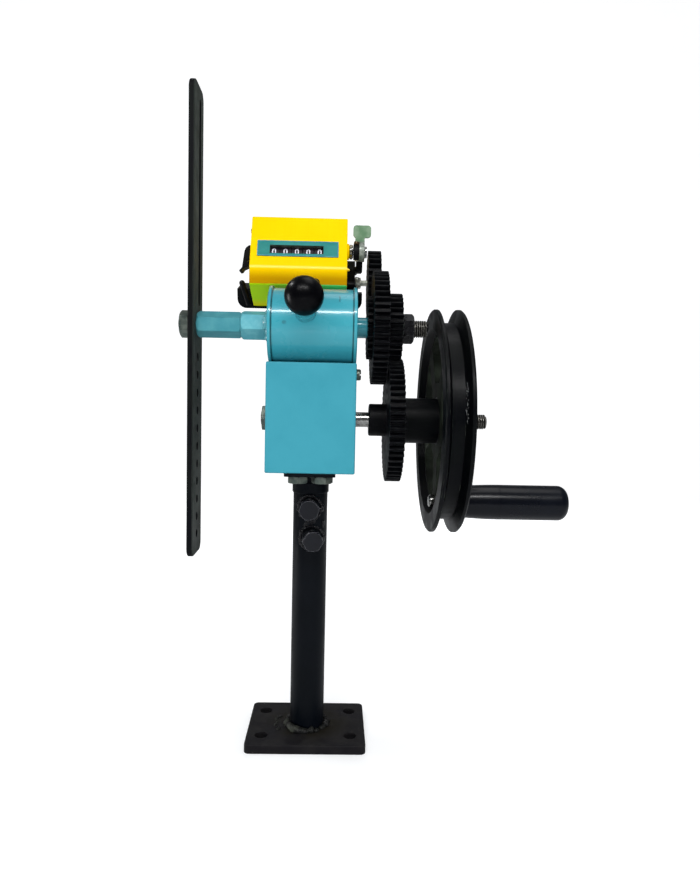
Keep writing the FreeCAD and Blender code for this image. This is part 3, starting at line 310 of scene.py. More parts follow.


# finishes

# tones: two that mix in patches, and that of rubbed edges, which on the bolt heads is a painted glint; rough: low
# and high; coat: weight and roughness;
# grain: fine scale, coarse scale, bump, its depth; edge: radius, share that takes the edge tone; rings: axis, scale,
# depth;
# dust: amount and tone; specks: scale, size and tone; painted crevice shade with some grime: amount, with its reach
# and tone
looks = {
    "basePlate": {"tones": ((21, 20, 23), (29, 28, 29), (52, 58, 66)), "patch": 45, "rough": (0.5, 0.68),
        "specular": 0.1, "grain": (1800, 420, 0.5, 0.22), "edge": (0.8, 0.42), "dust": (0.12, (70, 70, 68)),
        "shadeAndGrime": 0.5},
    "columnBlack": {"tones": ((2, 5, 10), (6, 9, 15), (46, 50, 58)), "patch": 24, "rough": (0.34, 0.5),
        "specular": 0.14, "grain": (1500, 260, 0.35, 0.16), "edge": (0.5, 0.25)},
    "weldPaint": {"tones": ((5, 5, 10), (14, 13, 17), (70, 70, 78)), "patch": 120, "rough": (0.22, 0.4),
        "grain": (1800, 600, 0.5, 0.14), "edge": (0.3, 0.5), "edgePatchScale": 90},
    # the edge tone here is mostly a painted glint on the bolt heads' edges
    "boltBlack": {"tones": ((4, 5, 12), (10, 12, 20), (150, 152, 160)), "patch": 90, "rough": (0.28, 0.42),
        "specular": 0.4, "grain": (2400, 700, 0.3, 0.1), "edge": (0.5, 0.85), "edgePatchScale": 90},
    "zinc": {"tones": ((88, 100, 95), (122, 130, 122), (150, 156, 148)), "patch": 120, "rough": (0.3, 0.46),
        "metal": 0.75, "grain": (2600, 900, 0.25, 0.08), "edge": (0.4, 0.3), "shadeAndGrime": 0.4},
    "brightSteel": {"tones": ((176, 176, 172), (146, 147, 146), (210, 210, 205)), "patch": 260,
        "rough": (0.16, 0.3), "metal": 1, "grain": (3000, 900, 0.2, 0.05), "edge": (0.3, 0.2),
        "rings": (inputAxis, 2600, 1)},
    "gearBlack": {"tones": ((1, 1, 3), (6, 7, 9), (66, 70, 74)), "patch": 150, "rough": (0.4, 0.56),
        "specular": 0.1, "grain": (2600, 700, 0.35, 0.1), "edge": (0.28, 0.66), "edgePatchScale": 200,
        "rings": (spindleAxis, 1500, 0.5)},
    "darkNut": {"tones": ((20, 20, 24), (36, 36, 39), (170, 170, 172)), "patch": 160, "rough": (0.26, 0.42),
        "metal": 0.5, "grain": (2600, 800, 0.3, 0.08), "edge": (0.5, 0.6), "edgePatchScale": 150},
    "collarSteel": {"tones": ((236, 238, 226), (196, 200, 190), (250, 250, 240)), "patch": 330,
        "rough": (0.14, 0.24), "metal": 0.6, "grain": (2600, 800, 0.15, 0.05), "edge": (0.25, 0.4),
        "shadeAndGrime": 0.35},
    "handleBlack": {"tones": ((2, 4, 12), (3, 7, 17), (34, 38, 48)), "patch": 20, "rough": (0.26, 0.36),
        "specular": 0.28, "grain": (1100, 300, 0.12, 0.1), "edge": (0.6, 0.12)},
    "knobBlack": {"tones": ((1, 1, 3), (3, 3, 5), (34, 34, 38)), "patch": 40, "rough": (0.3, 0.36),
        "specular": 0.12, "grain": (900, 240, 0.06, 0.1), "edge": (0.4, 0.05)},
    "armBlack": {"tones": ((10, 11, 15), (18, 20, 20), (72, 78, 74)), "patch": 26, "rough": (0.5, 0.66),
        "specular": 0.08, "grain": (1600, 300, 0.35, 0.14), "edge": (0.5, 0.5), "edgePatchScale": 60},
    "bronze": {"tones": ((150, 112, 62), (118, 84, 46), (190, 150, 90)), "patch": 200, "rough": (0.3, 0.45),
        "metal": 1, "grain": (2600, 900, 0.2, 0.06), "edge": (0.3, 0.3)},
    "counterBlack": {"tones": ((3, 3, 6), (9, 9, 12), (60, 62, 60)), "patch": 110, "rough": (0.38, 0.56),
        "specular": 0.14, "grain": (1700, 520, 0.5, 0.18), "edge": (0.5, 0.3), "shadeAndGrime": 0.4},
    "leverGreen": {"tones": ((104, 140, 106), (124, 150, 122), (168, 186, 162)), "patch": 150,
        "rough": (0.3, 0.48), "metal": 0.35, "grain": (2200, 600, 0.3, 0.1), "edge": (0.5, 0.5), "shadeAndGrime": 0.6,
        "shadeAndGrimeTone": (30, 44, 34)},
    "digitWheelBlack": {"tones": ((40, 34, 42), (52, 42, 50), (60, 56, 64)), "patch": 90, "rough": (0.45, 0.6),
        "specular": 0.2, "grain": (2000, 500, 0.15, 0.06), "edge": (0.3, 0.2)},
    "digitWhite": {"tones": ((236, 234, 246), (216, 214, 228), (228, 226, 238)), "patch": 500,
        "rough": (0.4, 0.5), "specular": 0.3, "grain": (2000, 500, 0.05, 0.15), "edge": (0.001, 0)},
    "bezelTeal": {"tones": ((38, 122, 118), (48, 132, 128), (130, 196, 188)), "patch": 70, "rough": (0.34, 0.46),
        "specular": 0.16, "grain": (1800, 500, 0.08, 0.15), "edge": (0.25, 0.3)},
    "bezelRim": {"tones": ((44, 128, 152), (58, 146, 160), (110, 190, 200)), "patch": 90, "rough": (0.3, 0.42),
        "grain": (1800, 500, 0.08, 0.15), "edge": (0.2, 0.3)},
    "liningGreyShade": {"tones": ((40, 44, 38), (58, 62, 52), (150, 156, 130)), "patch": 200, "rough": (0.5, 0.6),
        "specular": 0.2, "grain": (2000, 600, 0.1, 0.05), "edge": (0.1, 0.2)},
    "nubBrown": {"tones": ((70, 52, 36), (104, 82, 58), (170, 140, 104)), "patch": 200, "rough": (0.25, 0.4),
        "metal": 0.5, "grain": (2600, 900, 0.2, 0.06), "edge": (0.3, 0.3)},
    "chippedTeal": {"tones": ((96, 170, 180), (206, 226, 228), (226, 240, 240)), "patch": 170,
        "patchRange": (0.5, 0.6), "rough": (0.2, 0.35), "grain": (1600, 500, 0.3, 0.1), "edge": (0.3, 0.4)},
    "caseTeal": {"tones": ((54, 142, 160), (60, 148, 166), (150, 205, 214)), "patch": 18, "rough": (0.44, 0.56),
        "specular": 0.2, "grain": (1300, 460, 0.45, 0.16), "edge": (0.9, 0.16), "shadeAndGrime": 0.5, "shadeAndGrimeReach": 1.6,
        "shadeAndGrimeTone": (24, 62, 70)},
    "drumTeal": {"tones": ((54, 150, 166), (60, 156, 172), (160, 214, 222)), "patch": 14, "rough": (0.22, 0.3),
        "specular": 0.3, "coat": (0.55, 0.08), "grain": (900, 210, 0.16, 0.16), "edge": (0.6, 0.14),
        "specks": (34, 0.07, (36, 92, 100)), "shadeAndGrime": 0.75, "shadeAndGrimeReach": 1.4, "shadeAndGrimeTone": (18, 58, 64)},
    "hoodYellow": {"tones": ((244, 202, 0), (248, 206, 0), (255, 240, 150)), "patch": 16, "rough": (0.3, 0.4),
        "specular": 0.03, "coat": (0.07, 0.05), "grain": (1000, 260, 0.1, 0.14), "edge": (0.7, 0.05)},
    "wheelBlack": {"tones": ((1, 2, 5), (5, 7, 8), (84, 92, 82)), "patch": 34, "rough": (0.36, 0.5),
        "specular": 0.12, "grain": (1900, 500, 0.3, 0.1), "edge": (0.8, 0.42), "edgePatchScale": 60,
        "rings": (inputAxis, 1300, 1.4)},
    "scuff": {"tones": ((176, 178, 178), (90, 92, 92), (180, 180, 180)), "patch": 420, "rough": (0.5, 0.7),
        "grain": (3000, 900, 0.6, 0.1), "edge": (0.1, 0)},
    "weldSkin": {"tones": ((14, 14, 15), (54, 57, 50), (104, 108, 100)), "patch": 75, "patchRange": (0.42, 0.66),
        "rough": (0.42, 0.6), "metal": 0.2, "specular": 0.25, "grain": (1800, 520, 0.7, 0.25), "edge": (0.3, 0.3),
        "shadeAndGrime": 0.7},
    # lighter copy of the hexagons' teal: dusty paint, and painted light on facets that face up
    "neckTealDustyLit": {"tones": ((82, 160, 174), (104, 176, 186), (150, 200, 206)), "patch": 70, "rough": (0.38, 0.52),
        "specular": 0.25, "grain": (1500, 380, 0.4, 0.14), "edge": (0.7, 0.3), "shadeAndGrime": 0.4,
        "shadeAndGrimeTone": (30, 74, 80)},
}
# darker copy for the arbor, as painted shade of its facets that face down
looks["arborTealShaded"] = dict(looks["neckTealDustyLit"], tones=((62, 134, 146), (76, 146, 156), (150, 200, 206)))


def finish(name, look):
    material = bpy.data.materials.new(name)
    material.use_nodes = True
    tree = material.node_tree
    shader = tree.nodes["Principled BSDF"].inputs
    shader["Metallic"].default_value = look.get("metal", 0.0)
    shader["Specular IOR Level"].default_value = look.get("specular", 0.5)
    shader["Coat Weight"].default_value, shader["Coat Roughness"].default_value = look.get("coat", (0.0, 0.08))
    first, second, wornAndGlintEdge = look["tones"]
    radius, share = look["edge"]
    edges = place(tree, edgeWearGlintGroup, Radius=radius * mm, Amount=share, Scale=look.get("edgePatchScale", 140.0))
    low, high = look.get("patchRange", (0.38, 0.66))
    patch = maskOf(tree, mottleGroup, Scale=look["patch"], Low=low, High=high)
    colour = blendColour(tree, patch, first, second)
    if "dust" in look:
        amount, shade = look["dust"]
        colour = blendColour(tree, maskOf(tree, dustGroup, Amount=amount), colour, shade)
    # painted shade in crevices, with some grime, darkens the colour towards its tone
    if "shadeAndGrime" in look:
        shadeAndGrime = maskOf(tree, creviceShadeGroup, Distance=look.get("shadeAndGrimeReach", 2.5) * mm, Amount=look["shadeAndGrime"])
        colour = blendColour(tree, shadeAndGrime, colour, look.get("shadeAndGrimeTone", (12, 12, 12)))
    if "specks" in look:
        scale, size, shade = look["specks"]
        colour = blendColour(tree, maskOf(tree, speckGroup, Scale=scale, Size=size), colour, shade)
    fine, coarse, strength, depth = look["grain"]
    height = place(tree, grainGroup, Fine=fine, Coarse=coarse)["Height"]
    if "rings" in look:
        centre, scale, deep = look["rings"]
        rings = place(tree, turnedGroup, Centre=centre, Scale=scale)["Height"]
        height = calc(tree, "ADD", height, calc(tree, "MULTIPLY", rings, deep))
    bump = newNode(tree, "Bump", {
        "Strength": strength, "Distance": depth * mm, "Height": height, "Normal": edges["Normal"]})
    feed(tree, shader["Normal"], bump.outputs[0])
    feed(tree, shader["Base Color"], blendColour(tree, edges["Mask"], colour, wornAndGlintEdge))
    feed(tree, shader["Roughness"], ramp(tree, patch, 0.0, 1.0, *look["rough"]))
    return material


def overlay(tree, mask, colour, rough=None):
    # lays one more colour, and its roughness, over a finish
    shader = tree.nodes["Principled BSDF"].inputs
    feed(tree, shader["Base Color"], blendColour(tree, mask, shader["Base Color"].links[0].from_socket, colour))
    if rough is not None:
        old = shader["Roughness"].links[0].from_socket
        feed(tree, shader["Roughness"], ramp(tree, mask, 0.0, 1.0, old, rough))


def mottled(tree, patch, first, second):
    # two tones in patches: scale, low, high
    scale, low, high = patch
    return blendColour(tree, maskOf(tree, mottleGroup, Scale=scale, Low=low, High=high), first, second)


finishes = {lookName: finish(lookName, look) for lookName, look in looks.items()}

drumMarks = [
    {"x": -24.6, "z": 386.0, "shape": (0.8, 0, 1.0), "size": 1.6, "tone": (52, 120, 132)},
    {"x": 23.8, "z": 408.3, "shape": (1.7, 0, 0.5), "size": 1.5, "tone": (46, 96, 108)},
    {"x": -36.5, "z": 398.0, "shape": (1.0, 0, 1.0), "size": 0.7, "tone": (230, 240, 240)},
]


def markDrum(tree):
    # marks at the front, and painted shadow in the seam of each end cap
    front = maskOf(tree, facingGroup, Way=(0, -1, 0), Start=0.2, End=0.4)
    for mark in drumMarks:
        centre = Vector((mark["x"], 0, mark["z"])) * mm
        spot = maskOf(tree, zoneGroup, Centre=centre, Flatten=mark["shape"], Outer=mark["size"] * mm, Soft=0.7 * mm)
        patch = maskOf(tree, mottleGroup, Scale=330, Low=0.36, High=0.56)
        overlay(tree, allOf(tree, spot, front, patch), mark["tone"])
    across = split(tree, objectPoint(tree))["X"]
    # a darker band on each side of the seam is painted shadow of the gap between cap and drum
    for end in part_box("spindle_housing"):
        rise = ramp(tree, across, end.x - 1.0 * mm, end.x - 0.5 * mm, 0.0, 0.8)
        fall = ramp(tree, across, end.x + 0.3 * mm, end.x + 1.0 * mm, 1.0, 0.0)
        overlay(tree, allOf(tree, rise, fall), (28, 84, 92))


# hood tones: painted shade on the chin, a painted highlight on the bend, painted green bounce light from the drum on
# the underside, yellow at its hem
hoodShades = {"bend": 0.405, "chin": 0.24, "streak": (255, 200, 0), "deep": (182, 132, 0), "bendHighlight": (255, 246, 130),
              "left": (184, 232, 14), "right": (90, 238, 120), "hem": (240, 214, 10)}


def shadeHood(tree):
    # fine brush streaks down the leaning front; a painted highlight along the bend, over a chin darkened towards its
    # bottom as painted shade; the underside painted green as bounce light from the teal drum, back to yellow at the
    # hem
    tones = hoodShades
    base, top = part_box("counter_case")
    bend, chin = [base.z + (top.z - base.z) * tones[part] for part in ("bend", "chin")]
    stretch = newNode(tree, "Mapping", {"Scale": (520.0, 14.0, 14.0), "Vector": objectPoint(tree)}).outputs[0]
    overlay(tree, ramp(tree, cloud(tree, 1, 3, vector=stretch), 0.42, 0.7, 0.0, 0.3), tones["streak"])
    front = maskOf(tree, facingGroup, Way=(0, -1, 0), Start=0.2, End=0.5)
    point = split(tree, objectPoint(tree))
    # painted shade: the chin grows darker towards its bottom
    overlay(tree, allOf(tree, front, ramp(tree, point["Z"], chin, bend - 1 * mm, 0.95, 0.0)), tones["deep"])
    # painted highlight along the bend
    highlightBand = maskOf(tree, bandGroup, Low=bend - 3.4 * mm, High=bend + 0.6 * mm, Soft=1.9 * mm)
    overlay(tree, allOf(tree, front, highlightBand, 0.45), tones["bendHighlight"])
    # painted bounce light: the underside tinted green, as the teal drum's light would tint it
    bounceGreen = blendColour(tree, ramp(tree, point["X"], -0.05, 0.02), tones["left"], tones["right"])
    lower = ramp(tree, point["Z"], base.z + 1 * mm, base.z + 6 * mm, 0.6, 0.0)
    below = maskOf(tree, facingGroup, Way=(0, 0, -1), Start=0.25, End=0.6)
    hem = maskOf(tree, bandGroup, Low=base.z - 9 * mm, High=chin + 4 * mm, Soft=1 * mm)
    overlay(tree, allOf(tree, below, hem), blendColour(tree, lower, bounceGreen, tones["hem"]))


# a second look between two radii: the wheel's rough casting, and the lever's hub rubbed bare
zoneLooks = {
    "wheelBlack": {"centre": inputAxis, "inner": 22.5, "outer": 81.5, "soft": 0.8, "patch": (34, 0.36, 0.68),
                   "tones": ((20, 23, 19), (44, 51, 42)), "rough": 0.7},
    "leverGreen": {"centre": pinAxis, "inner": 0.0, "outer": 10.5, "soft": 2.0, "patch": (160, 0.36, 0.62),
                   "tones": ((150, 156, 148), (92, 100, 92))},
}


def shadeZone(tree, look):
    zone = maskOf(tree, zoneGroup, Centre=look["centre"], Flatten=(0, 1, 1), Inner=look["inner"] * mm,
                  Outer=look["outer"] * mm, Soft=look["soft"] * mm)
    overlay(tree, zone, mottled(tree, look["patch"], *look["tones"]), look.get("rough"))


def shadeBase(tree):
    # browned by the welding heat round the column
    heat = maskOf(tree, zoneGroup, Flatten=(1, 1.1, 0), Outer=34 * mm, Soft=12 * mm)
    overlay(tree, allOf(tree, heat, maskOf(tree, mottleGroup, Scale=38, Low=0.34, High=0.6)), (27, 25, 20))


def shadeArm(tree):
    # the +X face painted lighter: paint rubbed thin where the wire runs, and painted light as from the right
    wornAndLitFace = maskOf(tree, facingGroup, Way=(1, 0, 0), Start=0.5, End=0.9)
    overlay(tree, wornAndLitFace, mottled(tree, (16, 0.36, 0.66), (43, 47, 44), (58, 64, 60)))


def shadeWeld(tree):
    # darker towards +X across the bare weld
    overlay(tree, ramp(tree, split(tree, objectPoint(tree))["X"], -6 * mm, 4 * mm, 0.0, 0.8), (15, 15, 16))


def treeOf(name):
    return finishes[name].node_tree


markDrum(treeOf("drumTeal"))
shadeHood(treeOf("hoodYellow"))
for zoneName, zoneLook in zoneLooks.items():
    shadeZone(treeOf(zoneName), zoneLook)
shadeBase(treeOf("basePlate"))
shadeArm(treeOf("armBlack"))
shadeWeld(treeOf("weldSkin"))
print("finishes built")

finishOf = {
    "basePlate": "base_plate",
    "columnBlack": "column_tube column_band clamp_nuts mast_tube mast_flange",
    "boltBlack": "clamp_bolts",
    "zinc": "flange_bolts arm_washer arm_nut lock_washer lock_rod bracket_bolts shaft_retainer side_screw",
    "brightSteel": "input_shaft number_axle reset_pin handle_stud",
    "collarSteel": "shaft_collars counter_shaft",
    "gearBlack": "spindle_gear_large spindle_gear_inner spindle_gear_small drive_gear counter_gear",
    "darkNut": "spindle_nut wheel_nut spindle_shaft spindle_key inner_collar",
    "handleBlack": "handle_grip",
    "knobBlack": "lock_knob",
    "armBlack": "winding_arm",
    "bronze": "input_bushes spindle_bushes",
    "counterBlack": "shaft_blocks end_lug counter_base counter_bracket reset_boss reset_cam oil_cup",
    "leverGreen": "reset_lever",
    "digitWheelBlack": "units_wheel number_wheels",
    "bezelTeal": "counter_bezel",
    "caseTeal": "gear_case",
    "drumTeal": "spindle_housing housing_cap_left housing_cap_right",
    "neckTealDustyLit": "hex_neck",
    "arborTealShaded": "hex_arbor",
    "hoodYellow": "counter_case",
    "wheelBlack": "crank_wheel",
}


def dressNodes():
    for finishName, names in finishOf.items():
        for name in names.split():
            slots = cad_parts[name].data.materials
            if not slots:
                slots.append(finishes[finishName])
            for index in range(len(slots)):
                slots[index] = finishes[finishName]


dressNodes()
print("CAD nodes dressed")


# mesh tools

def addPiece(name, bm, finishName, body, slot, smooth=True):
    bmesh.ops.recalc_face_normals(bm, faces=bm.faces)
    mesh = bpy.data.meshes.new(name)
    bm.to_mesh(mesh)
    bm.free()
    for face in mesh.polygons:
        face.use_smooth = smooth
    mesh.materials.append(finishes[finishName])
    piece = addObject(name, mesh)
    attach(piece, body)
    return piece


def aimed(origin, direction):
    # matrix that takes +Z to a direction, at an origin
    turn = Vector(direction).to_track_quat("Z", "Y").to_matrix().to_4x4()
    return Matrix.Translation(origin) @ turn


def besideAxis(x, axis, radius=0.0, angle=0.0):
    # point at an angle round an axis along X, or on the axis itself
    return Vector((x, axis.y + radius * math.cos(angle), axis.z + radius * math.sin(angle)))


def skin(bm, rings, around=False):
    # faces between rings of points; the ends are capped unless the rings go around
    for low, high in zip(rings, rings[1:] + (rings[:1] if around else [])):
        for i in range(len(low)):
            j = (i + 1) % len(low)
            bm.faces.new((low[i], low[j], high[j], high[i]))
    if not around:
        bm.faces.new(rings[0])
        bm.faces.new(rings[-1])


def lathe(bm, outline, spot, sides=48, base=0.0, around=False):
    # (radius, height) points in mm, beyond a base radius, turned about the local Z of spot
    rings = []
    for radius, height in outline:
        radius = base + radius * mm
        angles = [fullTurn * i / sides for i in range(sides)]
        rings.append([bm.verts.new(spot @ Vector((radius * math.cos(angle), radius * math.sin(angle), height * mm)))
                      for angle in angles])
    skin(bm, rings, around)


def wireRing(bm, x, axis, angle, radius, size, sides=8):
    # section, tall by wide, of an oval wire that runs round an axis along X
    out = Vector((0, math.cos(angle), math.sin(angle)))
    ring = []
    for k in range(sides):
        turn = fullTurn * k / sides
        spot = besideAxis(x, axis) + out * (radius + size[0] * math.cos(turn))
        ring.append(bm.verts.new(spot + xWay * size[1] * math.sin(turn)))
    return ring


def roundEdges(bm, radius):
    bmesh.ops.bevel(bm, geom=bm.edges[:], offset=radius * mm, segments=2, affect="EDGES")


def slottedHead(bm, spot, size, sides=40):
    # pan head with a sunk screwdriver slot, made as two half moons on a round foot
    radius, height = size["radius"], size["height"]
    foot = height - size["depth"]
    lathe(bm, [(radius * 0.9, 0), (radius, height * 0.15), (radius, foot)], spot, sides)
    start = math.asin(size["slot"] / 2 / radius)
    for side in (1, -1):
        low, high = [], []
        for i in range(sides // 2 + 1):
            angle = start + (math.pi - 2 * start) * i / (sides // 2)
            x, y = radius * math.cos(angle), radius * math.sin(angle)
            low.append(bm.verts.new(spot @ (Vector((x * side, y * side, foot - 0.01)) * mm)))
            upper = Vector((x * side * 0.84, max(y * 0.84, size["slot"] / 2) * side, height))
            high.append(bm.verts.new(spot @ (upper * mm)))
        for i in range(len(low) - 1):
            bm.faces.new((low[i], low[i + 1], high[i + 1], high[i]))
        bm.faces.new((low[-1], low[0], high[0], high[-1]))
        bm.faces.new(high)
        bm.faces.new(low)


# screw threads

threadLook = {
    "tones": ((96, 94, 90), (128, 126, 120), (200, 198, 190)), "patch": 260, "rough": (0.26, 0.4), "metal": 0.7,
    "grain": (2600, 800, 0.2, 0.05), "edge": (0.15, 0.5), "edgePatchScale": 150, "shadeAndGrime": 0.7, "shadeAndGrimeReach": 1.2}
threads = {
    "spindleThread": {"body": "spindle", "node": "spindle_shaft", "nut": "spindle_nut", "root": 6.9, "crest": 8.0},
    "inputThread": {"body": "crank", "node": "input_shaft", "nut": "wheel_nut", "root": 5.9, "crest": 7.0},
}
threadPitch = 2.0
threadSection = [(-0.5, 0.0), (-0.14, 1.0), (0.14, 1.0), (0.5, 0.0), (0.3, -0.5), (-0.3, -0.5)]


def makeThread(name, size):
    # bright crests over valleys painted dark as shade; the crest fades out at the shaft's end
    axis, pitch, deep = middle(size["node"]), threadPitch * mm, size["crest"] - size["root"]
    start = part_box(size["nut"])[1].x - pitch
    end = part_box(size["node"])[1].x - 0.6 * mm
    steps = 40
    count = int((end - start) / pitch * steps)
    bm = bmesh.new()
    rings = []
    for i in range(count + 1):
        x = start + pitch * i / steps
        fade = min(1.0, (count - i) / (steps * 0.6))
        rings.append([bm.verts.new(besideAxis(
            x + along * pitch * 0.98, axis, (size["root"] + deep * (fade if out > 0 else 1.0) * out) * mm,
            fullTurn * i / steps)) for along, out in threadSection])
    skin(bm, rings)
    finishes[name] = finish(name + "Steel", threadLook)
    tree = treeOf(name)
    # painted shade in the thread's valleys
    valleyShade = maskOf(tree, zoneGroup, Centre=axis, Flatten=(0, 1, 1), Soft=0.12 * mm,
                    Outer=(size["root"] + deep * 0.62) * mm)
    overlay(tree, valleyShade, (14, 13, 12))
    addPiece(name, bm, name, size["body"], "dark_nut", smooth=False)


for threadName, threadSize in threads.items():
    makeThread(threadName, threadSize)
print("threads cut")


# weld beads

def lump(bm, spot, size, seed):
    size = [side * mm for side in size]
    made = bmesh.ops.create_icosphere(bm, subdivisions=3, radius=1.0)
    for vert in made["verts"]:
        bump = noise.noise(vert.co * 1.7 + Vector((seed, seed * 0.37, 0)))
        vert.co = vert.co * (1 + 0.22 * bump)
        vert.co = spot @ Vector((vert.co.x * size[0], vert.co.y * size[1], vert.co.z * size[2]))


def fuseLumps(name, bm, voxel, body, finishName, slot):
    piece = addPiece(name, bm, finishName, body, slot)
    remesh = piece.modifiers.new("fuse", "REMESH")
    remesh.mode = "VOXEL"
    remesh.voxel_size = voxel * mm
    remesh.use_smooth_shade = True
    piece.modifiers.new("ease", "SMOOTH").iterations = 2
    bpy.context.view_layer.update()
    mesh = bpy.data.meshes.new_from_object(piece.evaluated_get(bpy.context.evaluated_depsgraph_get()))
    piece.modifiers.clear()
    piece.data = mesh
    return piece


footWeldSize = {"ring": 18.4, "low": 9.0, "beads": 26, "width": 3.4, "tall": 3.2, "slabRing": 20.6,
                "slabStart": -139, "slabSweep": 46, "slabTop": 11.6, "slabDrop": 2.4}


def makeFootWeld():
    # stacked beads of a hand weld, and a broad slab where the front was run twice
    size = footWeldSize
    rolls = random.Random(11)
    bm = bmesh.new()

    def drop(ring, angle, height, lean, grow, seed):
        centre = Vector((ring * math.cos(angle), ring * math.sin(angle), height * mm))
        spot = Matrix.Translation(centre) @ Matrix.Rotation(angle, 4, "Z") @ Matrix.Rotation(lean, 4, "Y")
        lump(bm, spot, grow, seed)

    for i in range(size["beads"]):
        angle = fullTurn * i / size["beads"] + rolls.uniform(-0.1, 0.1)
        ring = (size["ring"] + rolls.uniform(-0.9, 1.3)) * mm
        grow = rolls.uniform(0.62, 1.2)
        drop(ring, angle, size["low"] + rolls.uniform(-0.6, 0.5), 0.5,
             (size["width"] * grow, 2.5, size["tall"] * grow), i * 3.1)
    for i in range(8):
        share = i / 7
        angle = math.radians(size["slabStart"] + size["slabSweep"] * share)
        ring = (size["slabRing"] + 0.6 * math.sin(share * 5)) * mm
        grow = 1.0 + 0.35 * math.sin(share * 3.1)
        drop(ring, angle, size["slabTop"] - size["slabDrop"] * share, 0.7,
             (2.9 * grow, 3.4, 1.9 * grow), 40 + i * 0.4)
    made = fuseLumps("footWeldBead", bm, 0.5, "stand", "weldSkin", "base_black")
    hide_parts("foot_weld")


spatterSize = {"crescent": 34, "ring": 29.0, "start": -208, "sweep": 58, "loose": 18}


def makeSpatter():
    # drops beside the foot weld, and a few over the plate
    size = spatterSize
    rolls = random.Random(5)
    bm = bmesh.new()
    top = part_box("base_plate")[1].z
    for i in range(size["crescent"]):
        angle = math.radians(size["start"] + size["sweep"] * rolls.random())
        ring = (size["ring"] + rolls.uniform(-1.6, 1.8)) * mm
        radius = rolls.uniform(0.5, 1.3)
        centre = Vector((ring * math.cos(angle), ring * math.sin(angle), top + radius * mm * 0.2))
        lump(bm, Matrix.Translation(centre), (radius * 1.2, radius, radius * 0.7), i)
    for i in range(size["loose"]):
        centre = Vector((rolls.uniform(-42, 42) * mm, rolls.uniform(-38, 30) * mm, top + 0.05 * mm))
        radius = rolls.uniform(0.25, 0.5)
        lump(bm, Matrix.Translation(centre), (radius, radius, radius * 0.6), i + 50)
    addPiece("weldSpatter", bm, "weldSkin", "stand", "base_black")


clampWeldSize = {"bolts": ((0.0, 219.5), (2.0, 191.0)), "ring": 10.6, "beads": 24, "bead": 2.1,
                 "fillers": 13, "fillerAt": 205.5, "sideDrops": 7, "sideAt": (12.5, 203.5)}


def makeClampWelds():
    # beads that hold the two clamp nuts on the column, with a run of filler between them
    size = clampWeldSize
    rolls = random.Random(23)
    bm = bmesh.new()
    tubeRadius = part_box("column_tube")[1].x

    def drop(x, z, grow, seed):
        y = -math.sqrt(tubeRadius ** 2 - x ** 2)
        lump(bm, Matrix.Translation((x, y + 0.3 * mm, z)) @ Matrix.Rotation(math.atan2(x, -y), 4, "Z"), grow, seed)

    for k, (boltX, boltZ) in enumerate(size["bolts"]):
        for i in range(size["beads"]):
            angle = fullTurn * i / size["beads"] + rolls.uniform(-0.05, 0.05)
            ring = (size["ring"] + rolls.uniform(-0.5, 0.7)) * mm
            grow = size["bead"] * rolls.uniform(0.75, 1.2)
            drop(boltX * mm + ring * math.cos(angle) * 0.97, boltZ * mm + ring * math.sin(angle), (grow, grow, grow),
                 i + k * 100)
    for i in range(size["fillers"]):
        x, z = rolls.uniform(-6.0, 5.0), size["fillerAt"] + rolls.uniform(-2.6, 3.2)
        drop(x * mm, z * mm, (rolls.uniform(1.2, 2.6), rolls.uniform(0.6, 1.3), rolls.uniform(1.2, 2.4)), 200 + i)
    x, z = size["sideAt"]
    for i in range(size["sideDrops"]):
        drop((x + rolls.uniform(-1.0, 1.2)) * mm, (z + rolls.uniform(-3.4, 3.4)) * mm, (1.3, 1.2, 1.5), 300 + i)
    fuseLumps("clampWelds", bm, 0.45, "stand", "weldPaint", "tube_paint")


neckWeldSize = {"beads": 22, "start": 112, "step": 8.0, "bead": 1.5, "gap": 0.5}


def makeNeckWeld():
    # painted bead where the hexagon meets the spindle's cap, chipped bright and broadest at the front
    size = neckWeldSize
    rolls = random.Random(8)
    bm = bmesh.new()
    right = min(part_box("hex_neck")[1].x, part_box("housing_cap_left")[0].x) - size["gap"] * mm
    for i in range(size["beads"]):
        radius = halfHigh("hex_neck") - rolls.uniform(0.0, 0.7) * mm
        wide = size["bead"] * rolls.uniform(0.75, 1.2) * (1.35 if 5 <= i <= 10 else 0.9)
        x = right - wide * mm - rolls.uniform(0.0, 1.0) * mm
        spot = besideAxis(x, spindleAxis, radius, math.radians(size["start"] + size["step"] * i))
        lump(bm, Matrix.Translation(spot), (wide, 1.4, wide), i + 90)
    fuseLumps("neckTack", bm, 0.35, "spindle", "chippedTeal", "teal_paint")


makeFootWeld()
makeSpatter()
makeClampWelds()
makeNeckWeld()
print("welds laid")


# counter: figures on the number wheels, frame round the sight

hoodPlace = {"lean": 22.0, "bezelThick": 1.0, "bezelTop": 42.95, "bezelHigh": 16.5, "bezelWide": 76.5,
             "bezelShift": -16.4, "bezelUp": 34.7, "sightHigh": 9.0, "sightWide": 50.7, "sightShift": -17.6,
             "sightUp": 33.7}


def findHoodFrame():
    # the hood's own frame: +Y into it, +Z up its leaning front
    low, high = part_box("counter_bezel")
    lean = math.radians(hoodPlace["lean"])
    bottom = (hoodPlace["bezelTop"] - hoodPlace["bezelHigh"]) * mm
    thick = hoodPlace["bezelThick"] * mm
    y = low.y + thick * math.cos(lean) - bottom * math.sin(lean)
    z = high.z - thick * math.sin(lean) - hoodPlace["bezelTop"] * mm * math.cos(lean)
    return Matrix.Translation((0, y, z)) @ Matrix.Rotation(-lean, 4, "X")


hoodFrame = findHoodFrame()


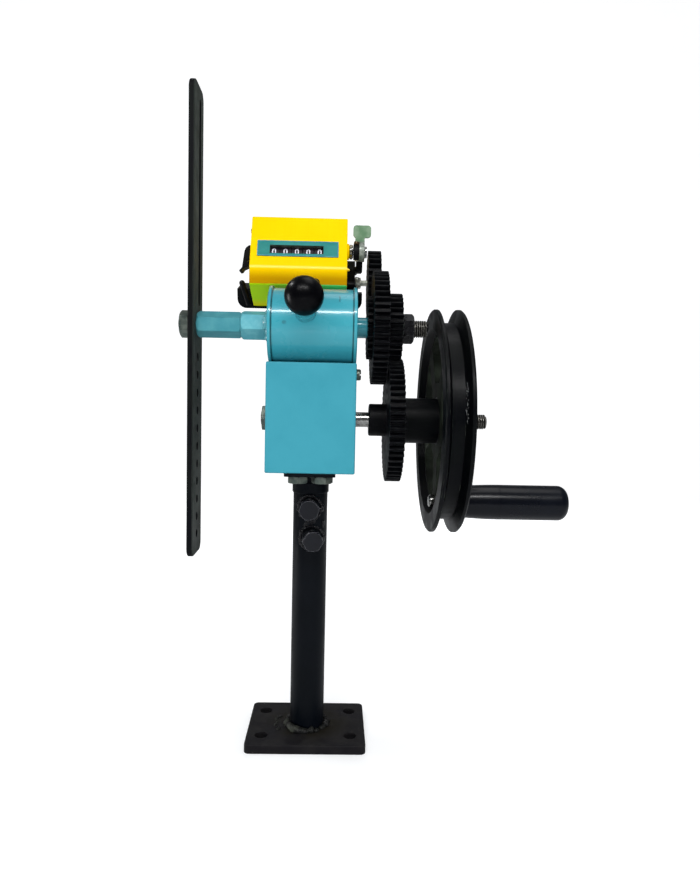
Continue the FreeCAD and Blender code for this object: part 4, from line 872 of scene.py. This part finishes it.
def frameRing(bm, part, inset, deep):
    # four corners of a bezel or sight on the leaning front, drawn inward and set deep
    wide, high = hoodPlace[part + "Wide"] * mm / 2, hoodPlace[part + "High"] * mm / 2
    x, z = hoodPlace[part + "Shift"] * mm, hoodPlace[part + "Up"] * mm
    corners = ((-1, -1), (1, -1), (1, 1), (-1, 1))
    return [bm.verts.new(hoodFrame @ Vector((x + sx * (wide - inset * mm), deep * mm, z + sz * (high - inset * mm))))
            for sx, sz in corners]


def addFrame(name, part, section, finishName, slot):
    bm = bmesh.new()
    skin(bm, [frameRing(bm, part, inset, deep) for inset, deep in section], around=True)
    addPiece(name, bm, finishName, "head", slot, smooth=False)


# (inset, depth) of the border along the bezel's outside, and of the thin lining in the sight's opening
bezelSection = [(0.0, -0.1), (0.0, -1.12), (0.25, -1.3), (0.75, -1.3), (1.0, -1.05), (1.0, -0.7)]
liningSection = [(-0.02, -0.9), (-0.02, 2.6), (0.25, 2.6), (0.25, -0.9)]
addFrame("bezelFrame", "bezel", bezelSection, "bezelRim", "bezel_teal")
# the lining's grey is darkened as painted shade inside the sight, its light edge tone a painted highlight on the
# front lip
addFrame("sightLining", "sight", liningSection, "liningGreyShade", "digit_black")

figureSize = {"high": 7.4, "wide": 0.82, "below": -0.35, "raise": 0.1, "bold": 0.02, "slices": 15}


def figureMesh(text):
    # a flat figure, sliced so that it can bend round a wheel
    curve = bpy.data.curves.new("figure" + text, "FONT")
    curve.body = text
    curve.align_x = "CENTER"
    curve.align_y = "CENTER"
    curve.resolution_u = 4
    curve.offset = figureSize["bold"]
    carrier = addObject("figure" + text, curve)
    bpy.context.view_layer.update()
    mesh = bpy.data.meshes.new_from_object(carrier.evaluated_get(bpy.context.evaluated_depsgraph_get()))
    bpy.data.objects.remove(carrier)
    sliced = bmesh.new()
    sliced.from_mesh(mesh)
    for i in range(figureSize["slices"]):
        parts = sliced.verts[:] + sliced.edges[:] + sliced.faces[:]
        bmesh.ops.bisect_plane(sliced, geom=parts, plane_co=(0, -0.42 + 0.06 * i, 0), plane_no=(0, 1, 0))
    sliced.to_mesh(mesh)
    sliced.free()
    return mesh


def wrapFigures(name, centres, body):
    # ten figures round each wheel, in thin raised print
    size = figureSize
    radius = halfHigh("units_wheel")
    axis = middle("units_wheel")
    front = math.radians(180 - hoodPlace["lean"]) + size["below"] * mm / radius
    bm = bmesh.new()
    for figure in range(10):
        mesh = figureMesh(str(figure))
        across, up = [[v.co[side] for v in mesh.vertices] for side in (0, 1)]
        middleX, middleY = (min(across) + max(across)) / 2, (min(up) + max(up)) / 2
        scale = size["high"] * mm / (max(up) - min(up))
        for centre in centres:
            verts = []
            for x, y in zip(across, up):
                angle = front - (y - middleY) * scale / radius + figure * fullTurn / 10
                x = centre + (x - middleX) * scale * size["wide"]
                verts.append(bm.verts.new(besideAxis(x, axis, radius + size["raise"] * mm, angle)))
            for face in mesh.polygons:
                bm.faces.new([verts[i] for i in face.vertices])
    addPiece(name, bm, "digitWhite", body, "digit_black", smooth=False)


def makeFigures():
    units = middle("units_wheel").x
    pitch = (units - middle("number_wheels").x) / 2.5
    wrapFigures("unitsFigures", [units], "units")
    wrapFigures("numberFigures", [units - pitch * (i + 1) for i in range(4)], "head")


makeFigures()


# counter: boss, spring and screws on the gear side, screws on the far side

def findTurnedPlaces():
    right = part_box("counter_case")[1].x
    camLow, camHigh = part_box("reset_cam")
    nub = Vector(((camLow.x + camHigh.x) / 2 + 0.3 * mm, pinAxis.y - 2.0 * mm,
                  pinAxis.z + halfHigh("reset_cam") - 0.6 * mm))
    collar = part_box("shaft_collars")[1].x - 5.7 * mm
    return {"sideBoss": aimed(besideAxis(right, pinAxis), xWay),
            "stopPin": aimed(Vector((37.7, 39.0, 454.4)) * mm, xWay),
            "leverNub": aimed(nub, (0, 0, 1)),
            "collarSleeve": aimed(besideAxis(collar, counterAxis), xWay)}


# outline: (radius, height) points, beyond the radius of the node that base names; dress: finish, body, slot
turnedSizes = {
    "sideBoss": {"outline": [(6.1, 0.02), (7.6, 0.02), (7.6, 1.1), (7.36, 1.66), (6.8, 1.9), (6.1, 1.9)],
                 "sides": 64, "around": True, "dress": ("hoodYellow", "head", "hood_yellow")},
    "stopPin": {"outline": [(0.7, 0), (1.0, 0.3), (1.0, 3.9), (0.7, 4.2)], "sides": 24,
                "dress": ("collarSteel", "head", "bright_steel")},
    "leverNub": {"outline": [(2.9, 0), (2.9, 1.6), (2.5, 2.7), (1.6, 3.5), (0.4, 3.8)], "sides": 36,
                 "dress": ("nubBrown", "reset", "bronze")},
    "collarSleeve": {"outline": [(-0.2, 0.05), (0.3, 0.05), (0.8, 0.6), (0.8, 3.2), (-0.1, 3.5), (-0.1, 4.6),
                                 (0.5, 5.2), (-0.2, 5.6)], "sides": 48, "base": "shaft_collars",
                     "dress": ("collarSteel", "counter_drive", "bright_steel")},
}


def makeTurnedPiece(name):
    size = turnedSizes[name]
    bm = bmesh.new()
    base = halfHigh(size["base"]) if "base" in size else 0.0
    lathe(bm, size["outline"], turnedPlaces[name], size["sides"], base, "around" in size)
    addPiece(name, bm, *size["dress"])


springSize = {"wire": 0.45, "turns": 3.5, "steps": 28, "start": 2.4, "end": 0.6}


def makeLeverSpring():
    # return spring on the boss beside the lever
    size = springSize
    wire = size["wire"] * mm
    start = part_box("reset_boss")[0].x + size["start"] * mm
    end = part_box("reset_lever")[0].x - size["end"] * mm
    steps = int(size["turns"] * size["steps"])
    bm = bmesh.new()
    skin(bm, [wireRing(bm, start + (end - start) * i / steps, pinAxis, fullTurn * size["turns"] * i / steps,
                       halfHigh("reset_boss") + wire * 1.1, (wire, wire)) for i in range(steps + 1)])
    addPiece("leverSpring", bm, "brightSteel", "head", "bright_steel")


counterScrewSize = {"radius": 2.3, "height": 1.7, "slot": 0.6, "depth": 0.85, "reach": 7.2,
                    "far": ((52, 62), (10, 60), (66, 40))}


def makeCounterScrews():
    # screws of the bearing block, in the hood's side, and of the far cheek
    size = counterScrewSize
    bm = bmesh.new()
    centre = besideAxis(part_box("shaft_blocks")[1].x, counterAxis)
    for up, across in ((1, -1), (-1, 1), (1, 1)):
        offset = hoodFrame.to_3x3() @ (Vector((0, across, up)) * size["reach"] * mm)
        slottedHead(bm, aimed(centre + offset, xWay), size)
    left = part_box("counter_case")[0].x
    for deep, up in size["far"]:
        slottedHead(bm, aimed(hoodFrame @ Vector((left, deep * mm, up * mm)), -xWay), size)
    addPiece("counterScrews", bm, "brightSteel", "head", "bright_steel", smooth=False)


collarScrewSize = {"radius": 1.5, "height": 1.0, "slot": 0.45, "depth": 0.5, "inward": 2.85, "sink": 0.3}


def makeCollarScrew():
    # grub screw of the counter shaft's collar
    size = collarScrewSize
    across = Vector((0, -0.72, 0.69)).normalized()
    centre = besideAxis(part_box("shaft_collars")[1].x - size["inward"] * mm, counterAxis)
    bm = bmesh.new()
    spot = centre + across * (halfHigh("shaft_collars") - size["sink"] * mm)
    slottedHead(bm, aimed(spot, across), size, 24)
    addPiece("collarScrew", bm, "darkNut", "counter_drive", "dark_nut", smooth=False)


# corners: (Y, Z)
stopPlateSize = {"corners": [(39.5, 446.5), (43.5, 443.5), (53, 443.5), (53, 451), (48, 456), (39.5, 456)],
                 "left": 39.3, "thick": 6.2, "round": 0.8, "foot": (38.1, 49.0, 447.5)}


def makeStopPlate():
    # black stop plate between the bearing block and the lever
    size = stopPlateSize
    bm = bmesh.new()
    bm.faces.new([bm.verts.new((size["left"] * mm, y * mm, z * mm)) for y, z in size["corners"]])
    grown = bmesh.ops.extrude_face_region(bm, geom=bm.faces[:])
    far = [part for part in grown["geom"] if isinstance(part, bmesh.types.BMVert)]
    bmesh.ops.translate(bm, verts=far, vec=(size["thick"] * mm, 0, 0))
    roundEdges(bm, size["round"])
    lathe(bm, [(2.4, 0), (2.4, 1.6)], aimed(Vector(size["foot"]) * mm, xWay), 24)
    addPiece("stopPlate", bm, "counterBlack", "head", "counter_black", smooth=False)


# corners: (X, Z), where X starts at the hood's side
hoodLipSize = {"corners": [(-0.2, 443.6), (-0.2, 440.2), (1.4, 440.4), (3.0, 441.2)], "front": 17.0, "back": 22.5,
               "round": 0.3}


def makeHoodLip():
    # small bent ear at the hood's edge
    size = hoodLipSize
    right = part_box("counter_case")[1].x
    bm = bmesh.new()
    skin(bm, [[bm.verts.new((right + x * mm, size[end] * mm, z * mm)) for x, z in size["corners"]]
              for end in ("front", "back")])
    roundEdges(bm, size["round"])
    addPiece("hoodLip", bm, "hoodYellow", "head", "hood_yellow", smooth=False)


turnedPlaces = findTurnedPlaces()
makeTurnedPiece("sideBoss")
makeStopPlate()
makeTurnedPiece("stopPin")
makeTurnedPiece("leverNub")
makeTurnedPiece("collarSleeve")
makeHoodLip()
makeLeverSpring()
makeCounterScrews()
makeCollarScrew()
print("counter trimmed")


# wheel and grip: scuff in the groove, seam ring on the grip

scuffSize = {"marks": 34, "middle": 168.0, "spread": 9.0, "deep": 12.0, "inward": 12.5, "thick": 0.12}


def makeGrooveScuff():
    # thin scraped patch on the far wall of the groove
    size = scuffSize
    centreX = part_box("crank_wheel")[1].x - size["inward"] * mm
    rolls = random.Random(31)
    bm = bmesh.new()
    for i in range(size["marks"]):
        angle = math.radians(size["middle"] + rolls.uniform(-size["spread"], size["spread"]) + 2.0 * rolls.random())
        share = rolls.uniform(0.25, 0.62)
        radius = halfHigh("crank_wheel") - size["deep"] * mm * share
        spot = besideAxis(centreX + (7.0 - 4.0 * share) * mm, inputAxis, radius, angle)
        mark = rolls.uniform(0.35, 0.95)
        lump(bm, Matrix.Translation(spot) @ Matrix.Rotation(angle, 4, "X"), (size["thick"], mark * 0.6, mark), i + 7)
    addPiece("grooveScuff", bm, "scuff", "crank", "wheel_black")


gripSeamSize = {"along": 41.5, "sink": 0.08, "tall": 0.16, "wide": 0.5, "sides": 96}


def makeGripSeam():
    size = gripSeamSize
    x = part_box("handle_grip")[0].x + size["along"] * mm
    radius = halfHigh("handle_grip") - size["sink"] * mm
    bm = bmesh.new()
    wire = (size["tall"] * mm, size["wide"] * mm)
    skin(bm, [wireRing(bm, x, handleAxis, fullTurn * i / size["sides"], radius, wire) for i in range(size["sides"])],
         around=True)
    addPiece("gripSeam", bm, "handleBlack", "grip", "handle_black")


makeGrooveScuff()
makeGripSeam()
print("wheel and grip finished")


# floor and light

stageSize = {"front": -1.3, "back": 2.4, "half": 3.2, "high": 3.4, "bend": 0.9, "steps": 16}


def makeStage():
    # pale floor that bends up into a back wall
    size = stageSize
    profile = [(size["front"], 0.0), (size["back"] - size["bend"], 0.0)]
    for i in range(1, size["steps"] + 1):
        angle = math.pi / 2 * i / size["steps"]
        profile.append((size["back"] - size["bend"] + size["bend"] * math.sin(angle),
                        size["bend"] * (1 - math.cos(angle))))
    profile.append((size["back"], size["high"]))
    mesh = bpy.data.meshes.new("floor")
    verts = [(x, y, z) for y, z in profile for x in (-size["half"], size["half"])]
    faces = [(2 * i, 2 * i + 1, 2 * i + 3, 2 * i + 2) for i in range(len(profile) - 1)]
    mesh.from_pydata(verts, [], faces)
    for face in mesh.polygons:
        face.use_smooth = True
    floor = addObject("floor", mesh)
    material = bpy.data.materials.new("floorPale")
    material.use_nodes = True
    tree = material.node_tree
    shader = tree.nodes["Principled BSDF"].inputs
    shader["Roughness"].default_value = 0.8
    shader["Specular IOR Level"].default_value = 0.1
    feed(tree, shader["Base Color"], mottled(tree, (3, 0.3, 0.7), (186, 188, 190), (190, 192, 194)))
    glow = ramp(tree, split(tree, objectPoint(tree))["Y"], -0.2, 1.9, 0.52, 0.85)
    seen = newNode(tree, "LightPath").outputs["Is Camera Ray"]
    feed(tree, shader["Emission Strength"], allOf(tree, glow, seen))
    shader["Emission Color"].default_value = (1, 1, 1, 1)
    mesh.materials.append(material)


lights = {
    "keyLight": {"way": (-0.05, -0.72, 0.64), "far": 1.5, "size": (1.3, 0.13), "power": 15.0},
    "frontLight": {"way": (0.05, -1.0, -0.14), "far": 1.4, "size": (1.5, 0.34), "power": 12.5, "mirrored": False},
    "sideLight": {"way": (-0.70, 0.23, 0.68), "far": 1.5, "size": (0.3, 0.2), "power": 5.0},
    "leftStrip": {"way": (-1.0, 0.12, -0.1), "far": 1.3, "size": (0.25, 0.5), "power": 5.0},
    "topLight": {"way": (0.25, 0.1, 1.0), "far": 1.6, "size": (1.2, 0.8), "power": 5.0},
    "rightLight": {"way": (1.0, 0.1, 0.3), "far": 1.5, "size": (0.9, 0.7), "power": 9.0, "mirrored": False},
    "backLight": {"way": (0.1, 1.0, 0.3), "far": 1.5, "size": (1.4, 0.7), "power": 12.0, "mirrored": False},
}
aimPoint = Vector((0, 0, 0.36))


def makeLight(name, light):
    data = bpy.data.lights.new(name, "AREA")
    data.shape = "RECTANGLE"
    data.size, data.size_y = light["size"]
    data.energy = light["power"]
    lamp = addObject(name, data)
    lamp.visible_glossy = light.get("mirrored", True)
    way = Vector(light["way"]).normalized()
    lamp.matrix_world = aimed(aimPoint + way * light["far"], way)


def makeWorld():
    # dim sky that only the camera sees white
    world = bpy.data.worlds.new("studio")
    world.use_nodes = True
    tree = world.node_tree
    sky = tree.nodes["Background"].inputs
    sky["Color"].default_value = (0.94, 0.97, 1.0, 1.0)
    seen = newNode(tree, "LightPath").outputs["Is Camera Ray"]
    feed(tree, sky["Strength"], ramp(tree, seen, 0.0, 1.0, 0.14, 1.0))
    scene.world = world
    scene.view_settings.view_transform = "Standard"


makeStage()
for lightName, light in lights.items():
    makeLight(lightName, light)
makeWorld()
print("stage and light set")
